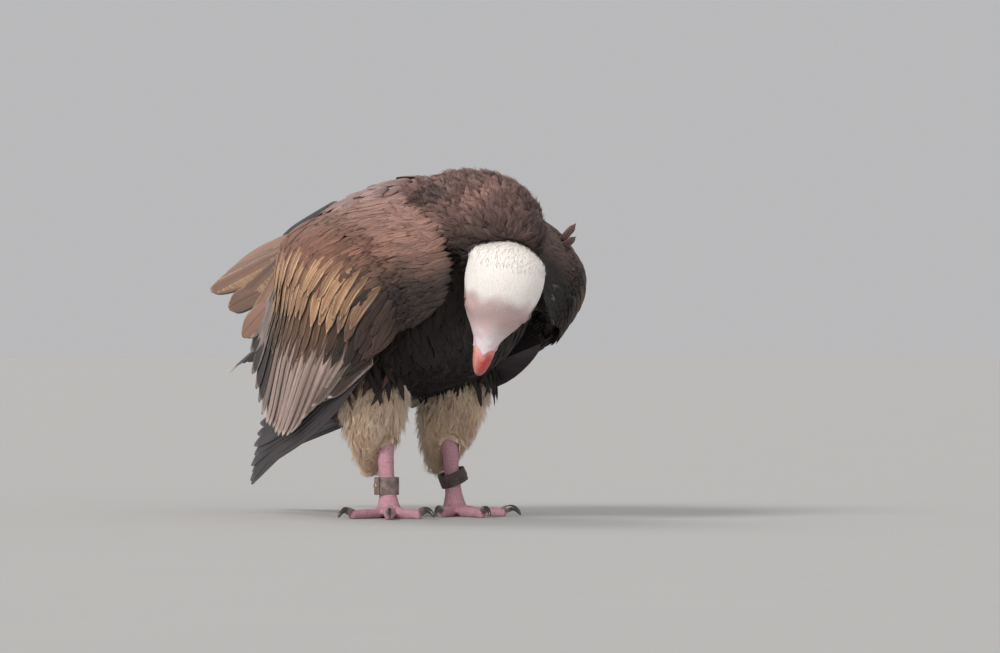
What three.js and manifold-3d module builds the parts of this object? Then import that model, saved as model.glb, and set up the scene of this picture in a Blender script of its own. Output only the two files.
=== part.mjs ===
// White-headed vulture, life size, standing with its head bowed and its wings drooping.
// Millimetres, +Z up. The bird faces -Y, so its right side is at -X, and the floor is z = 0.
import * as THREE from "three";
import { mergeVertices } from "three/addons/utils/BufferGeometryUtils.js";
import Module from "manifold-3d";

const wasm = await Module();
wasm.setup();

// ---- Driving dimensions ---------------------------------------------------------------------
const CLEARANCE = 0.35; // air between neighbouring solids
const EDGE_GROWTH = 2; // how much more room a slab's slanting edges are given than its faces

const EYE_RADIUS = 9.5;
const EYE_FORWARD = 7; // from the head's centre towards the bill
const EYE_SPREAD = 26; // from the head's midline to the eye's centre
const EYE_RISE = 6; // above the head's own axis
const HEAD_AT = [-17.6, -211.2, 233.3]; // just behind the eyes
const HEAD_FORWARD = [-0.169, 0.187, -0.968]; // from the nape to the bill
const HEAD_DORSAL = [-0.454, -0.891, 0]; // the way the crown looks

const TARSUS_RADIUS = 8.9;
const TOE_CENTRE_HEIGHT = 5.2;
const BAND_WALL = 1.7;

const RIGHT = -1;
const LEFT = 1;

// ---- Colours --------------------------------------------------------------------------------
const finish = (color, roughness, metalness = 0) => new THREE.MeshStandardMaterial({ color, roughness, metalness });
const MATERIALS = {
  body: finish(0x3a2a25, 0.85),
  ruff: finish(0x2c2220, 0.85),
  coverts: finish(0x5e4437, 0.8),
  secondaries: finish(0xb9a79e, 0.75),
  primaries: finish(0x2a2426, 0.7),
  tail: finish(0x231e1f, 0.75),
  thigh: finish(0xe0cdb8, 0.9),
  head: finish(0xeee4e2, 0.8),
  billUpper: finish(0xd9534f, 0.35),
  billLower: finish(0xc94b48, 0.4),
  eye: finish(0x1c120c, 0.1),
  shank: finish(0xc98aa8, 0.6),
  claw: finish(0x2b2624, 0.35),
  leather: finish(0x4a3c38, 0.7),
  steel: finish(0xb9bcc0, 0.3, 1),
};

// ---- Solids ---------------------------------------------------------------------------------
const point = (xyz) => new THREE.Vector3(...xyz);

/** A geometry whose shared vertices are merged, with its faces turned outwards. */
function closed(geometry) {
  geometry.deleteAttribute("normal");
  geometry.deleteAttribute("uv");
  const merged = mergeVertices(geometry, 1e-3);
  const position = merged.attributes.position;
  const index = merged.index.array;
  const [a, b, c] = [new THREE.Vector3(), new THREE.Vector3(), new THREE.Vector3()];
  let volume = 0;
  for (let i = 0; i < index.length; i += 3) {
    a.fromBufferAttribute(position, index[i]);
    b.fromBufferAttribute(position, index[i + 1]);
    c.fromBufferAttribute(position, index[i + 2]);
    volume += a.dot(b.cross(c));
  }
  if (volume < 0) for (let i = 0; i < index.length; i += 3) [index[i], index[i + 1]] = [index[i + 1], index[i]];
  return merged;
}

function solid(geometry) {
  const merged = closed(geometry);
  return new wasm.Manifold(
    new wasm.Mesh({
      numProp: 3,
      vertProperties: new Float32Array(merged.attributes.position.array),
      triVerts: new Uint32Array(merged.index.array),
    }),
  );
}

/** The largest piece that is left of a solid once its neighbours are cut away. */
function carve(body, ...cutters) {
  const left = cutters.reduce((rest, cutter) => rest.subtract(cutter), body);
  return left.decompose().sort((a, b) => b.volume() - a.volume())[0];
}

function geometryOf(body) {
  const mesh = body.getMesh();
  const geometry = new THREE.BufferGeometry();
  geometry.setAttribute("position", new THREE.BufferAttribute(mesh.vertProperties, 3));
  geometry.setIndex(new THREE.BufferAttribute(mesh.triVerts, 1));
  return geometry;
}

/** A smooth curve of any few numbers, such as three coordinates or three radii. */
const smooth = (rows) => new THREE.CatmullRomCurve3(rows.map(point), false, "centripetal");

/**
 * A closed lump along a path. Each station has a centre, a half width along `side`, and half heights above and
 * below it. It is a sphere whose rows are laid on the stations and whose poles close the two ends.
 */
function lump(stations, { side = [1, 0, 0], rows = 12, ring = 20, caps = [6, 6], grow = 0 } = {}) {
  const path = smooth(stations.map((s) => s.at));
  const girth = smooth(stations.map((s) => [s.wide, s.up, s.down ?? s.up]));
  const sphere = new THREE.SphereGeometry(1, ring, rows + 1);
  const position = sphere.attributes.position;
  for (let row = 0; row <= rows + 1; row++) {
    const t = THREE.MathUtils.clamp((row - 1) / (rows - 1), 0, 1);
    const centre = path.getPoint(t);
    const along = path.getTangent(t);
    const across = point(side).addScaledVector(along, -point(side).dot(along)).normalize();
    const upward = new THREE.Vector3().crossVectors(along, across).normalize();
    const size = girth.getPoint(t);
    const pole = row === 0 || row === rows + 1;
    if (row === 0) centre.addScaledVector(along, -caps[0] - grow);
    if (row === rows + 1) centre.addScaledVector(along, caps[1] + grow);
    for (let column = 0; column <= ring; column++) {
      const turn = (2 * Math.PI * (column % ring)) / ring;
      const rise = Math.sin(turn);
      const reach = rise > 0 ? size.y : size.z;
      const here = centre.clone();
      if (!pole) {
        here.addScaledVector(across, Math.cos(turn) * (size.x + grow));
        here.addScaledVector(upward, rise * (reach + grow));
      }
      position.setXYZ(row * (ring + 1) + column, here.x, here.y, here.z);
    }
  }
  return solid(sphere);
}

/** A curved slab with its outer face on surface(a, b) and its inner face the thickness below it. */
function shell(surface, thickness, columns, rows, { from = 0, to = 1, grow = 0 } = {}) {
  const box = new THREE.BoxGeometry(1, 1, 1, columns, rows, 1);
  const position = box.attributes.position;
  const step = 0.004;
  for (let i = 0; i < position.count; i++) {
    const [x, y, z] = [position.getX(i), position.getY(i), position.getZ(i)];
    const a = x + 0.5;
    const b = from + (to - from) * (y + 0.5);
    const here = surface(a, b);
    const acrossways = surface(Math.min(a + step, 1), b).sub(surface(Math.max(a - step, 0), b));
    const lengthways = surface(a, Math.min(b + step, 1)).sub(surface(a, Math.max(b - step, 0)));
    const outward = new THREE.Vector3().crossVectors(acrossways, lengthways).normalize();
    here.addScaledVector(outward, z > 0 ? grow : -thickness(a, b) - grow);
    if (Math.abs(x) === 0.5) here.addScaledVector(acrossways.normalize(), 2 * x * grow * EDGE_GROWTH);
    if (Math.abs(y) === 0.5) here.addScaledVector(lengthways.normalize(), 2 * y * grow * EDGE_GROWTH);
    position.setXYZ(i, here.x, here.y, here.z);
  }
  return solid(box);
}

/** Everything on one side of the plane through `at` that faces `normal`. */
function halfSpace(at, normal, reach = 400) {
  const block = new THREE.BoxGeometry(2 * reach, 2 * reach, reach);
  block.translate(0, 0, reach / 2);
  const turn = new THREE.Quaternion().setFromUnitVectors(new THREE.Vector3(0, 0, 1), point(normal).normalize());
  block.applyQuaternion(turn);
  block.translate(...at);
  return solid(block);
}

const group = new THREE.Group();

function add(name, material, body) {
  const mesh = new THREE.Mesh(geometryOf(body), MATERIALS[material]);
  mesh.name = name;
  group.add(mesh);
  return body;
}

// ---- Head frame -----------------------------------------------------------------------------
const headForward = point(HEAD_FORWARD).normalize();
const headLeft = new THREE.Vector3().crossVectors(headForward, point(HEAD_DORSAL)).negate().normalize();
const headDorsal = new THREE.Vector3().crossVectors(headForward, headLeft).normalize();

/** A point given along the head's own axes: towards the bill, to the bird's left and towards the crown. */
function headPoint(forward, left, dorsal) {
  const here = point(HEAD_AT);
  here.addScaledVector(headForward, forward);
  here.addScaledVector(headLeft, left);
  here.addScaledVector(headDorsal, dorsal);
  return here.toArray();
}

const headLump = (rows, options) =>
  lump(
    rows.map(([forward, dorsal, wide, up, down]) => ({ at: headPoint(forward, 0, dorsal), wide, up, down })),
    { side: headLeft.toArray(), ...options },
  );

// ---- Trunk, neck and tail -------------------------------------------------------------------
const TRUNK = [
  { at: [0, -156, 264], wide: 40, up: 44, down: 50 },
  { at: [0, -134, 261], wide: 68, up: 82, down: 82 },
  { at: [0, -95, 255], wide: 88, up: 110, down: 104 },
  { at: [0, -40, 248], wide: 96, up: 122, down: 110 },
  { at: [0, 30, 240], wide: 96, up: 119, down: 107 },
  { at: [0, 100, 230], wide: 87, up: 106, down: 107 },
  { at: [0, 160, 221], wide: 72, up: 82, down: 122 },
  { at: [0, 198, 215], wide: 58, up: 62, down: 134 },
  { at: [0, 234, 212], wide: 38, up: 38, down: 96 },
];
const trunkLump = (grow = 0) => lump(TRUNK, { side: [-1, 0, 0], rows: 11, ring: 18, caps: [13, 10], grow });

const NECK = [
  { at: [0, -52, 294], wide: 82, up: 74, down: 70 },
  { at: [2, -104, 315], wide: 77, up: 62, down: 60 },
  { at: [1, -150, 317], wide: 64, up: 53, down: 56 },
  { at: [-4, -186, 303], wide: 53, up: 43, down: 44 },
  { at: [-12, -208, 280], wide: 40, up: 36, down: 30 },
];
const neckLump = (grow = 0) => lump(NECK, { rows: 8, ring: 18, caps: [6, 6], grow });

const TAIL_FEATHERS = 12;
const TAIL_ROOT = [0, 182, 262];
const TAIL_TIP = [0, 440, 166];
const TAIL_ROOT_HALF_WIDTH = 24;
const TAIL_TIP_HALF_WIDTH = 52;
const TAIL_ROUNDING = 44; // how much shorter the outermost feather is than the middle pair
const TAIL_SAG = 13; // how far the outer edges hang below the middle
const NOTCH_DEPTH = 0.045; // the gap between two feather tips, as a share of their length

/** 1 in the gap between two feathers and 0 on a feather's own line, for feathers that are two columns apart. */
const betweenFeathers = (a, feathers) => Math.abs(Math.sin(Math.PI * a * (feathers - 1))) ** 2;

function tailSurface(a, b) {
  const across = 2 * a - 1;
  const reach = b * (1 - NOTCH_DEPTH * betweenFeathers(a, TAIL_FEATHERS));
  const half = THREE.MathUtils.lerp(TAIL_ROOT_HALF_WIDTH, TAIL_TIP_HALF_WIDTH, reach);
  const root = point(TAIL_ROOT);
  const tip = point(TAIL_TIP).add(new THREE.Vector3(0, -TAIL_ROUNDING * across ** 2, 0));
  const here = root.lerp(tip, reach);
  here.x += half * across;
  here.z -= TAIL_SAG * across ** 2 * reach;
  return here;
}
const tailShell = (grow = 0) =>
  shell(tailSurface, (a, b) => THREE.MathUtils.lerp(11, 1.4, b), 2 * (TAIL_FEATHERS - 1), 3, { grow });

// ---- Wings ----------------------------------------------------------------------------------
// Each rib of a wing runs over its outer face: the leading edge or shoulder, the bulge over the forearm, the tip of
// the greater covert, and the tip of the flight feather. They are for the right wing, from the outermost secondary,
// low at the wrist, to the innermost tertial, high on the back.
const WING_RIBS = [
  [[-62, -162, 228], [-97, -112, 194], [-113, -52, 160], [-106, 90, 98]],
  [[-55, -169, 258], [-118, -112, 228], [-128, -36, 170], [-99, 128, 88]],
  [[-58, -162, 290], [-135, -92, 256], [-138, -10, 176], [-91, 166, 79]],
  [[-64, -140, 320], [-148, -62, 278], [-143, 20, 188], [-86, 200, 92]],
  [[-67, -98, 338], [-152, -24, 297], [-142, 56, 204], [-86, 222, 100]],
  [[-66, -50, 350], [-146, 22, 304], [-136, 90, 222], [-92, 238, 138]],
  [[-62, 10, 343], [-130, 62, 302], [-121, 116, 242], [-99, 246, 200]],
  [[-56, 68, 331], [-110, 102, 300], [-104, 158, 272], [-94, 350, 248]],
  [[-46, 118, 319], [-86, 140, 303], [-90, 184, 291], [-80, 330, 266]],
];
// The left wing is held a little higher and further out over its lower half.
const LEFT_WING_RIBS = [
  [[-62, -162, 232], [-103, -112, 200], [-113, -52, 184], [-106, 90, 136]],
  [[-55, -169, 260], [-129, -108, 232], [-130, -36, 196], [-99, 128, 124]],
  [[-58, -160, 282], [-142, -96, 254], [-139, -10, 198], [-92, 166, 118]],
  [[-64, -136, 313], [-153, -70, 273], [-143, 20, 198], [-86, 200, 118]],
  [[-67, -98, 338], [-154, -26, 296], [-142, 56, 206], [-86, 222, 118]],
  ...WING_RIBS.slice(5),
];
const SECONDARIES = 17;
const COVERT_SHARE = 2 / 3; // the share of a rib that the coverts hide
const GAP_SHARE = 0.004; // the thin cut between the coverts and the flight feathers

/** Catmull-Rom surface through a grid of points: `a` runs over the ribs and `b` along each of them. */
function loft(ribs, a, b) {
  const levels = ribs[0].map((_, level) => smooth(ribs.map((rib) => rib[level])).getPoint(a).toArray());
  return smooth(levels).getPoint(b);
}

function wingSurface(side) {
  const ribs = side === LEFT ? LEFT_WING_RIBS : WING_RIBS;
  return (a, b) => {
    const past = Math.max(0, (b - COVERT_SHARE) / (1 - COVERT_SHARE));
    const short = NOTCH_DEPTH * 3 * past * betweenFeathers(a, SECONDARIES) * (1 - COVERT_SHARE);
    const here = loft(ribs, a, b - short);
    here.x *= -side;
    return here;
  };
}

const ARM_THICKNESS = smooth([3, 15, 25, 23, 13, 7].map((t) => [t, 0, 0])); // from the top edge to the covert tips

/** Thick over the arm, thin over the covert tips, and a blade towards the feather tips. */
function wingThickness(a, b) {
  if (b <= COVERT_SHARE) return ARM_THICKNESS.getPoint(b / COVERT_SHARE).x;
  return THREE.MathUtils.lerp(5.2, 1.3, (b - COVERT_SHARE) / (1 - COVERT_SHARE));
}

const handed = (surface, side) => (side === RIGHT ? surface : (a, b) => surface(1 - a, b));

const armShell = (side, grow = 0) =>
  shell(handed(wingSurface(side), side), wingThickness, 10, 6, { to: COVERT_SHARE - GAP_SHARE, grow });
const secondaryShell = (side, grow = 0) =>
  shell(handed(wingSurface(side), side), wingThickness, 2 * (SECONDARIES - 1), 2, {
    from: COVERT_SHARE + GAP_SHARE,
    grow,
  });

// The primaries lie inside and below the secondaries. Their first rib is the wing's lower edge.
const PRIMARY_RIBS = [
  [[-88, -104, 182], [-103, -62, 152], [-106, -4, 119], [-94, 103, 86], [-62, 268, 53], [-30, 383, 20]],
  [[-88, -98, 190], [-103, -54, 166], [-106, 8, 132], [-94, 110, 100], [-66, 262, 66], [-38, 366, 36]],
  [[-88, -92, 198], [-102, -46, 180], [-106, 14, 146], [-93, 114, 112], [-72, 244, 82], [-52, 326, 66]],
  [[-88, -86, 206], [-100, -38, 192], [-104, 20, 158], [-91, 116, 124], [-77, 214, 104], [-66, 282, 100]],
];
const LEFT_PRIMARY_RIBS = [
  [[-94, -104, 193], [-106, -62, 176], [-104, 0, 150], [-95, 128, 134], [-68, 276, 120], [-22, 428, 54]],
  [[-94, -98, 200], [-106, -56, 187], [-106, 8, 163], [-94, 128, 145], [-72, 264, 134], [-30, 408, 72]],
  [[-94, -92, 206], [-105, -48, 196], [-106, 12, 175], [-93, 126, 156], [-76, 244, 148], [-44, 366, 98]],
  [[-94, -86, 211], [-103, -40, 203], [-104, 18, 186], [-91, 124, 166], [-79, 222, 160], [-58, 322, 128]],
];
const PRIMARIES = 8;

function primarySurface(side) {
  const ribs = side === LEFT ? LEFT_PRIMARY_RIBS : PRIMARY_RIBS;
  return (a, b) => {
    const here = loft(ribs, a, b * (1 - NOTCH_DEPTH * 0.8 * betweenFeathers(a, PRIMARIES) * b));
    here.x *= -side;
    return here;
  };
}
const primaryShell = (side, grow = 0) =>
  shell(handed(primarySurface(side), side), (a, b) => THREE.MathUtils.lerp(7, 1.2, Math.sqrt(b)), 14, 5, { grow });

// Long scapulars lie over the wing's top edge and the back.
const SCAPULAR_RIBS = [
  [[-30, -70, 371], [-34, 20, 361], [-30, 120, 341], [-30, 205, 308]],
  [[-56, -66, 363], [-62, 20, 353], [-56, 120, 333], [-46, 226, 298]],
  [[-78, -58, 351], [-88, 20, 341], [-80, 110, 322], [-64, 216, 291]],
];
const SCAPULARS = 4;

function scapularSurface(side) {
  return (a, b) => {
    const here = loft(SCAPULAR_RIBS, a, b * (1 - NOTCH_DEPTH * 1.5 * betweenFeathers(a, SCAPULARS) * b));
    here.x *= -side;
    return here;
  };
}
const scapularShell = (side, grow = 0) =>
  shell(handed(scapularSurface(side), -side), (a, b) => THREE.MathUtils.lerp(7, 1.4, b), 6, 5, { grow });

// ---- Legs -----------------------------------------------------------------------------------
const LEGS = [
  { name: "right", side: RIGHT, foot: [-50, -14], hip: [-60, 2], ankle: [-48, 2], turnout: 22 },
  { name: "left", side: LEFT, foot: [50, 26], hip: [58, 42], ankle: [49, 42], turnout: -8 },
];
const TOES = [
  // the turn is from the foot's own line, outwards
  { name: "1", turn: 172, length: 36, claw: 27, thick: 6.2 },
  { name: "2", turn: -36, length: 52, claw: 26, thick: 6.6 },
  { name: "3", turn: 4, length: 76, claw: 25, thick: 6.4 },
  { name: "4", turn: 50, length: 58, claw: 20, thick: 5.9 },
];

function thighLump(leg, grow = 0) {
  const [x, y] = leg.hip;
  const inward = -leg.side;
  const stations = [
    { at: [x, y, 190], wide: 32, up: 42 },
    { at: [x, y, 154], wide: 34, up: 45 },
    { at: [x + 2 * inward, y + 7, 120], wide: 32, up: 40 },
    { at: [x + 5 * inward, y + 16, 92], wide: 25, up: 31 },
    { at: [x + 8 * inward, y + 25, 66], wide: 13, up: 18 },
    { at: [x + 9 * inward, y + 29, 48], wide: 4, up: 6 },
  ];
  return lump(stations, { rows: 9, ring: 14, caps: [8, 4], grow });
}

function shankLump(leg, grow = 0) {
  const [fx, fy] = leg.foot;
  const [ax, ay] = leg.ankle;
  const at = (z) => [fx + ((ax - fx) * z) / 92, fy + ((ay - fy) * z) / 92, z];
  const r = TARSUS_RADIUS;
  const stations = [
    { at: at(96), wide: r + 3, up: r + 4 },
    { at: at(78), wide: r + 0.6, up: r + 1.4 },
    { at: at(52), wide: r - 0.4, up: r },
    { at: at(30), wide: r - 0.2, up: r + 0.4 },
    { at: at(15), wide: r + 2.6, up: r + 3.4 },
    { at: at(6), wide: r + 6.2, up: r + 7.2 },
    { at: at(0.8), wide: r + 5.2, up: r + 6.4 },
  ];
  return lump(stations, { rows: 9, ring: 12, caps: [2, 2.2], grow });
}

const toeTurn = (leg, toe) => THREE.MathUtils.degToRad(toe.turn + leg.turnout) * leg.side;

/** A toe's path leaves the sole and runs along the floor, with a low arch at each joint. */
function toeStations(leg, toe) {
  const [fx, fy] = leg.foot;
  const turn = toeTurn(leg, toe);
  const ahead = [Math.sin(turn), -Math.cos(turn)];
  const at = (reach, z) => [fx + ahead[0] * reach, fy + ahead[1] * reach, z];
  const shares = [0.02, 0.34, 0.5, 0.66, 0.82, 1];
  const bulges = [1.12, 1.05, 0.9, 1.03, 0.88, 0.86];
  return shares.map((share, i) => ({
    at: at(toe.length * share, TOE_CENTRE_HEIGHT + (i === 0 ? 3 : 0)),
    wide: toe.thick * bulges[i],
    up: toe.thick * bulges[i] * 0.98,
    down: toe.thick,
  }));
}

function toeSide(leg, toe) {
  const turn = toeTurn(leg, toe);
  return [Math.cos(turn), Math.sin(turn), 0];
}

const toeLump = (leg, toe, grow = 0) =>
  lump(toeStations(leg, toe), { side: toeSide(leg, toe), rows: 6, ring: 8, caps: [2, 3], grow });

function clawLump(leg, toe, grow = 0) {
  const [fx, fy] = leg.foot;
  const turn = toeTurn(leg, toe);
  const at = (reach, z) => {
    const out = toe.length + reach;
    return [fx + Math.sin(turn) * out, fy - Math.cos(turn) * out, z];
  };
  const c = toe.claw;
  const stations = [
    { at: at(-3, 6.4), wide: 3.9, up: 4.6 },
    { at: at(c * 0.25, 9.6), wide: 3.5, up: 4.2 },
    { at: at(c * 0.5, 10), wide: 2.8, up: 3.4 },
    { at: at(c * 0.74, 6.6), wide: 1.9, up: 2.4 },
    { at: at(c * 0.86, 2.6), wide: 0.9, up: 1.1 },
  ];
  return lump(stations, { side: toeSide(leg, toe), rows: 5, ring: 6, caps: [1, 0.7], grow });
}

/** A flat ring of leather round the shank, wider than it, tilted about `hinge`. */
function bandRing(leg, low, high, inner, tilt) {
  const [fx, fy] = leg.foot;
  const [ax, ay] = leg.ankle;
  const middle = (low + high) / 2;
  const half = (high - low) / 2;
  const profile = [
    [inner, -half],
    [inner + BAND_WALL, -half],
    [inner + BAND_WALL + 0.4, 0],
    [inner + BAND_WALL, half],
    [inner, half],
    [inner, -half],
  ].map(([r, z]) => new THREE.Vector2(r, z));
  const ring = new THREE.LatheGeometry(profile, 14);
  ring.rotateX(Math.PI / 2);
  ring.rotateY(THREE.MathUtils.degToRad(tilt));
  ring.translate(fx + ((ax - fx) * middle) / 92, fy + ((ay - fy) * middle) / 92, middle);
  return solid(ring);
}

// ---- Assembly -------------------------------------------------------------------------------
const floorBelow = halfSpace([0, 0, 0], [0, 0, -1]);
const grown = {
  trunk: trunkLump(CLEARANCE),
  neck: neckLump(CLEARANCE),
  tail: tailShell(CLEARANCE),
};
const sides = [
  { name: "right", side: RIGHT },
  { name: "left", side: LEFT },
];
for (const wing of sides) {
  wing.arm = armShell(wing.side);
  wing.secondaries = secondaryShell(wing.side);
  wing.primaries = primaryShell(wing.side);
  wing.scapulars = scapularShell(wing.side);
  wing.armGrown = armShell(wing.side, CLEARANCE);
  wing.secondariesGrown = secondaryShell(wing.side, CLEARANCE);
  wing.primariesGrown = primaryShell(wing.side, CLEARANCE);
  wing.scapularsGrown = scapularShell(wing.side, CLEARANCE);
}
const allWings = (field) => sides.map((wing) => wing[field]);

for (const wing of sides) {
  add(`scapulars_${wing.name}`, "coverts", carve(wing.scapulars, grown.neck));
  add(`wing_${wing.name}_arm`, "coverts", carve(wing.arm, wing.scapularsGrown, grown.neck));
  add(`wing_${wing.name}_secondaries`, "secondaries", carve(wing.secondaries, wing.armGrown, wing.scapularsGrown));
  add(
    `wing_${wing.name}_primaries`,
    "primaries",
    carve(wing.primaries, wing.armGrown, wing.secondariesGrown, ...(wing.side === LEFT ? [sides[0].primariesGrown] : [])),
  );
}

add(
  "tail",
  "tail",
  carve(tailShell(), ...allWings("secondariesGrown"), ...allWings("primariesGrown"), ...allWings("scapularsGrown")),
);
add(
  "trunk",
  "body",
  carve(
    trunkLump(),
    grown.tail,
    ...allWings("armGrown"),
    ...allWings("scapularsGrown"),
    ...allWings("secondariesGrown"),
    ...allWings("primariesGrown"),
  ),
);

const HEAD = [
  // along, crown rise, half width, above, below
  [-58, -2, 22, 18, 18],
  [-50, -1, 34, 28, 27],
  [-36, 1, 43, 35, 34],
  [-18, 1, 43.5, 36, 37],
  [-2, 0, 39, 33, 36],
  [11, -1, 34.5, 28, 33],
  [23, -1, 26.5, 23, 28],
  [33, 0, 20, 18.5, 23.5],
  [41, 0, 16, 16.5, 20],
];
const headSolid = (grow = 0) => headLump(HEAD, { rows: 10, ring: 16, caps: [7, 2], grow });

const neckCutters = [grown.trunk, ...allWings("armGrown"), ...allWings("scapularsGrown"), headSolid(CLEARANCE)];
add("neck", "ruff", carve(neckLump(), ...neckCutters));

const eyeSpheres = [RIGHT, LEFT].map((side) => {
  const at = headPoint(EYE_FORWARD, side * EYE_SPREAD, EYE_RISE);
  const sphere = (r) => {
    const ball = new THREE.SphereGeometry(r, 10, 7);
    ball.translate(...at);
    return solid(ball);
  };
  return { name: side === RIGHT ? "right" : "left", body: sphere(EYE_RADIUS), grown: sphere(EYE_RADIUS + CLEARANCE) };
});
add("head", "head", carve(headSolid(), ...eyeSpheres.map((eye) => eye.grown)));
for (const eye of eyeSpheres) add(`eye_${eye.name}`, "eye", eye.body);

const BILL_UPPER = [
  [38, 1, 15.3, 15.5, 12.5],
  [48, 0.5, 13.2, 15.5, 12],
  [58, -1, 11.6, 14.5, 10.5],
  [67, -4, 10.4, 12.5, 9.5],
  [74.5, -9.5, 8.8, 9, 8],
  [80, -17, 5.4, 5, 5.4],
  [81, -23, 2.4, 2.4, 2.4],
];
const BILL_LOWER = [
  [37, -14.5, 12.5, 6, 6],
  [48, -15, 10.6, 5.5, 5.6],
  [58, -14.5, 8, 4, 4.6],
  [66, -13, 4.5, 3, 2.6],
];
const billUpper = (grow = 0) => headLump(BILL_UPPER, { rows: 9, ring: 10, caps: [2, 1], grow });
add("bill_upper", "billUpper", carve(billUpper(), headSolid(CLEARANCE)));
add(
  "bill_lower",
  "billLower",
  carve(headLump(BILL_LOWER, { rows: 5, ring: 8, caps: [2, 2] }), billUpper(CLEARANCE), headSolid(CLEARANCE)),
);

const thighCutters = [grown.trunk, ...["arm", "secondaries", "primaries"].flatMap((part) => allWings(`${part}Grown`))];
const bands = [bandRing(LEGS[0], 24, 45, 11.4, 0), bandRing(LEGS[1], 34, 49, 13, -22)];
LEGS.forEach((leg, i) => {
  const shankGrown = shankLump(leg, CLEARANCE);
  add(`thigh_${leg.name}`, "thigh", carve(thighLump(leg), ...thighCutters, shankGrown));
  add(`shank_${leg.name}`, "shank", carve(shankLump(leg), floorBelow));
  add(`anklet_${leg.name}`, "leather", carve(bands[i], shankGrown));
  const toesGrown = TOES.map((toe) => toeLump(leg, toe, CLEARANCE));
  TOES.forEach((toe, j) => {
    const name = `${leg.name}_${toe.name}`;
    add(`toe_${name}`, "shank", carve(toeLump(leg, toe), shankGrown, ...toesGrown.slice(0, j), floorBelow));
    add(`claw_${name}`, "claw", carve(clawLump(leg, toe), toesGrown[j], floorBelow));
  });
});

// The origin is on the floor, under the middle of the whole bird.
const bounds = new THREE.Box3().setFromObject(group);
const middle = bounds.getCenter(new THREE.Vector3());
group.position.set(-middle.x, -middle.y, 0);

export default group;
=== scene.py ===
# %% [markdown]
# # A white-headed vulture, life size
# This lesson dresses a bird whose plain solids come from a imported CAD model. The real thing is a
# museum model: a skin with its folds and scales, a horn bill and claws, glass eyes, and a coat of
# real feathers that are laid on in the order in which they grow. We make the skin first, then the
# large feathers that show the build of the wing, then the thousands of small ones, and last the
# finish of every surface.
# %% Load the solids
import math

import bmesh
import bpy
import numpy as np
from mathutils import Matrix, Vector
from mathutils.bvhtree import BVHTree


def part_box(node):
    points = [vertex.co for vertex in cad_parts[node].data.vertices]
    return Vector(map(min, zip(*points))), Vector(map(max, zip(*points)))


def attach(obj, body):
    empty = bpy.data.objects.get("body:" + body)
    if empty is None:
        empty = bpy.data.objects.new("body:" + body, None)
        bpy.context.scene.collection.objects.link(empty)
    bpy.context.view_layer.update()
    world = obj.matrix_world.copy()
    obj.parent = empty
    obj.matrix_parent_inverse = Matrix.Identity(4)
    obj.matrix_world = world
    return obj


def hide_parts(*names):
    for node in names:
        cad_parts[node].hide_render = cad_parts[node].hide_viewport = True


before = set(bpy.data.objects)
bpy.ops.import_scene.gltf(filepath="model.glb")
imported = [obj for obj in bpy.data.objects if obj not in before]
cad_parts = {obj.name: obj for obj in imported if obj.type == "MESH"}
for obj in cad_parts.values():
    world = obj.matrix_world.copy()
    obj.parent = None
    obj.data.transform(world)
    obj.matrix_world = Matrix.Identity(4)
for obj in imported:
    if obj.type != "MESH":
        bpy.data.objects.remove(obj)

bpy.context.view_layer.update()

# %% [markdown]
# Lengths are in millimetres in the bird's own axes: it faces -Y, its right side is at -X, and the
# floor is z = 0. The eyes are the one pair of solids whose place on the bird is exact, so they give
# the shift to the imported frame.
# %% Axes and units
MM = 0.001
RIGHT = -1
LEFT = 1
SIDES = {"right": RIGHT, "left": LEFT}
EYE_FORWARD = 7
EYE_SPREAD = 26
EYE_RISE = 6
EYE_RADIUS = 9.5


def unit(vectors):
    vectors = np.asarray(vectors, float)
    return vectors / np.maximum(np.linalg.norm(vectors, axis=-1, keepdims=True), 1e-9)


HEAD_AT = np.array([-17.6, -211.2, 233.3])
HEAD_FORWARD = unit([-0.169, 0.187, -0.968])
HEAD_LEFT = unit(-np.cross(HEAD_FORWARD, [-0.454, -0.891, 0]))
HEAD_DORSAL = np.cross(HEAD_FORWARD, HEAD_LEFT)
HEAD_AXES = np.array([HEAD_FORWARD, HEAD_LEFT, HEAD_DORSAL])


def head_point(forward, left, dorsal):
    return HEAD_AT + np.array([forward, left, dorsal]) @ HEAD_AXES


def on_head(points):
    """How far forward, left and towards the crown each point lies from the head's centre."""
    return (points - HEAD_AT) @ HEAD_AXES.T


eye_centres = {name: np.mean([list(c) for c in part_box(f"eye_{name}")], axis=0) / MM for name in SIDES}
SHIFT = sum(eye_centres.values()) / 2 - head_point(EYE_FORWARD, 0, EYE_RISE)


def to_frame(points):
    return (np.asarray(points) + SHIFT) * MM


def to_bird(points):
    return np.asarray(points) / MM - SHIFT


print("shift of the packed frame, mm:", np.round(SHIFT, 2))

# %% [markdown]
# Nothing on a bird is one even colour or one even size. A few waves that run in different
# directions add up to a soft, repeatable unevenness, which serves for the skin and for the feathers
# over it, so both carry the same marks.
# %% Uneven values


def ripple(points, size, seed):
    """A soft random value between about -1 and 1, whose blotches are `size` mm across."""
    rng = np.random.default_rng(seed)
    total = 0
    for _ in range(6):
        direction = unit(rng.normal(size=3)) * 2 * math.pi / size * rng.uniform(0.35, 0.8)
        total = total + np.sin(points @ direction + rng.uniform(0, 2 * math.pi))
    return total / 2.6


def ease(value, low, high):
    """0 below `low`, 1 above `high`, and smooth between them."""
    t = np.clip((value - low) / (high - low), 0, 1)
    return t * t * (3 - 2 * t)


def bell(value, width):
    """1 where `value` is 0, and fading to 0 on both sides of it over about `width`."""
    return np.exp(-((value / width) ** 2))


def blend_colours(share, first, second):
    share = np.asarray(share)[..., None]
    return np.asarray(first) * (1 - share) + np.asarray(second) * share


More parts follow.
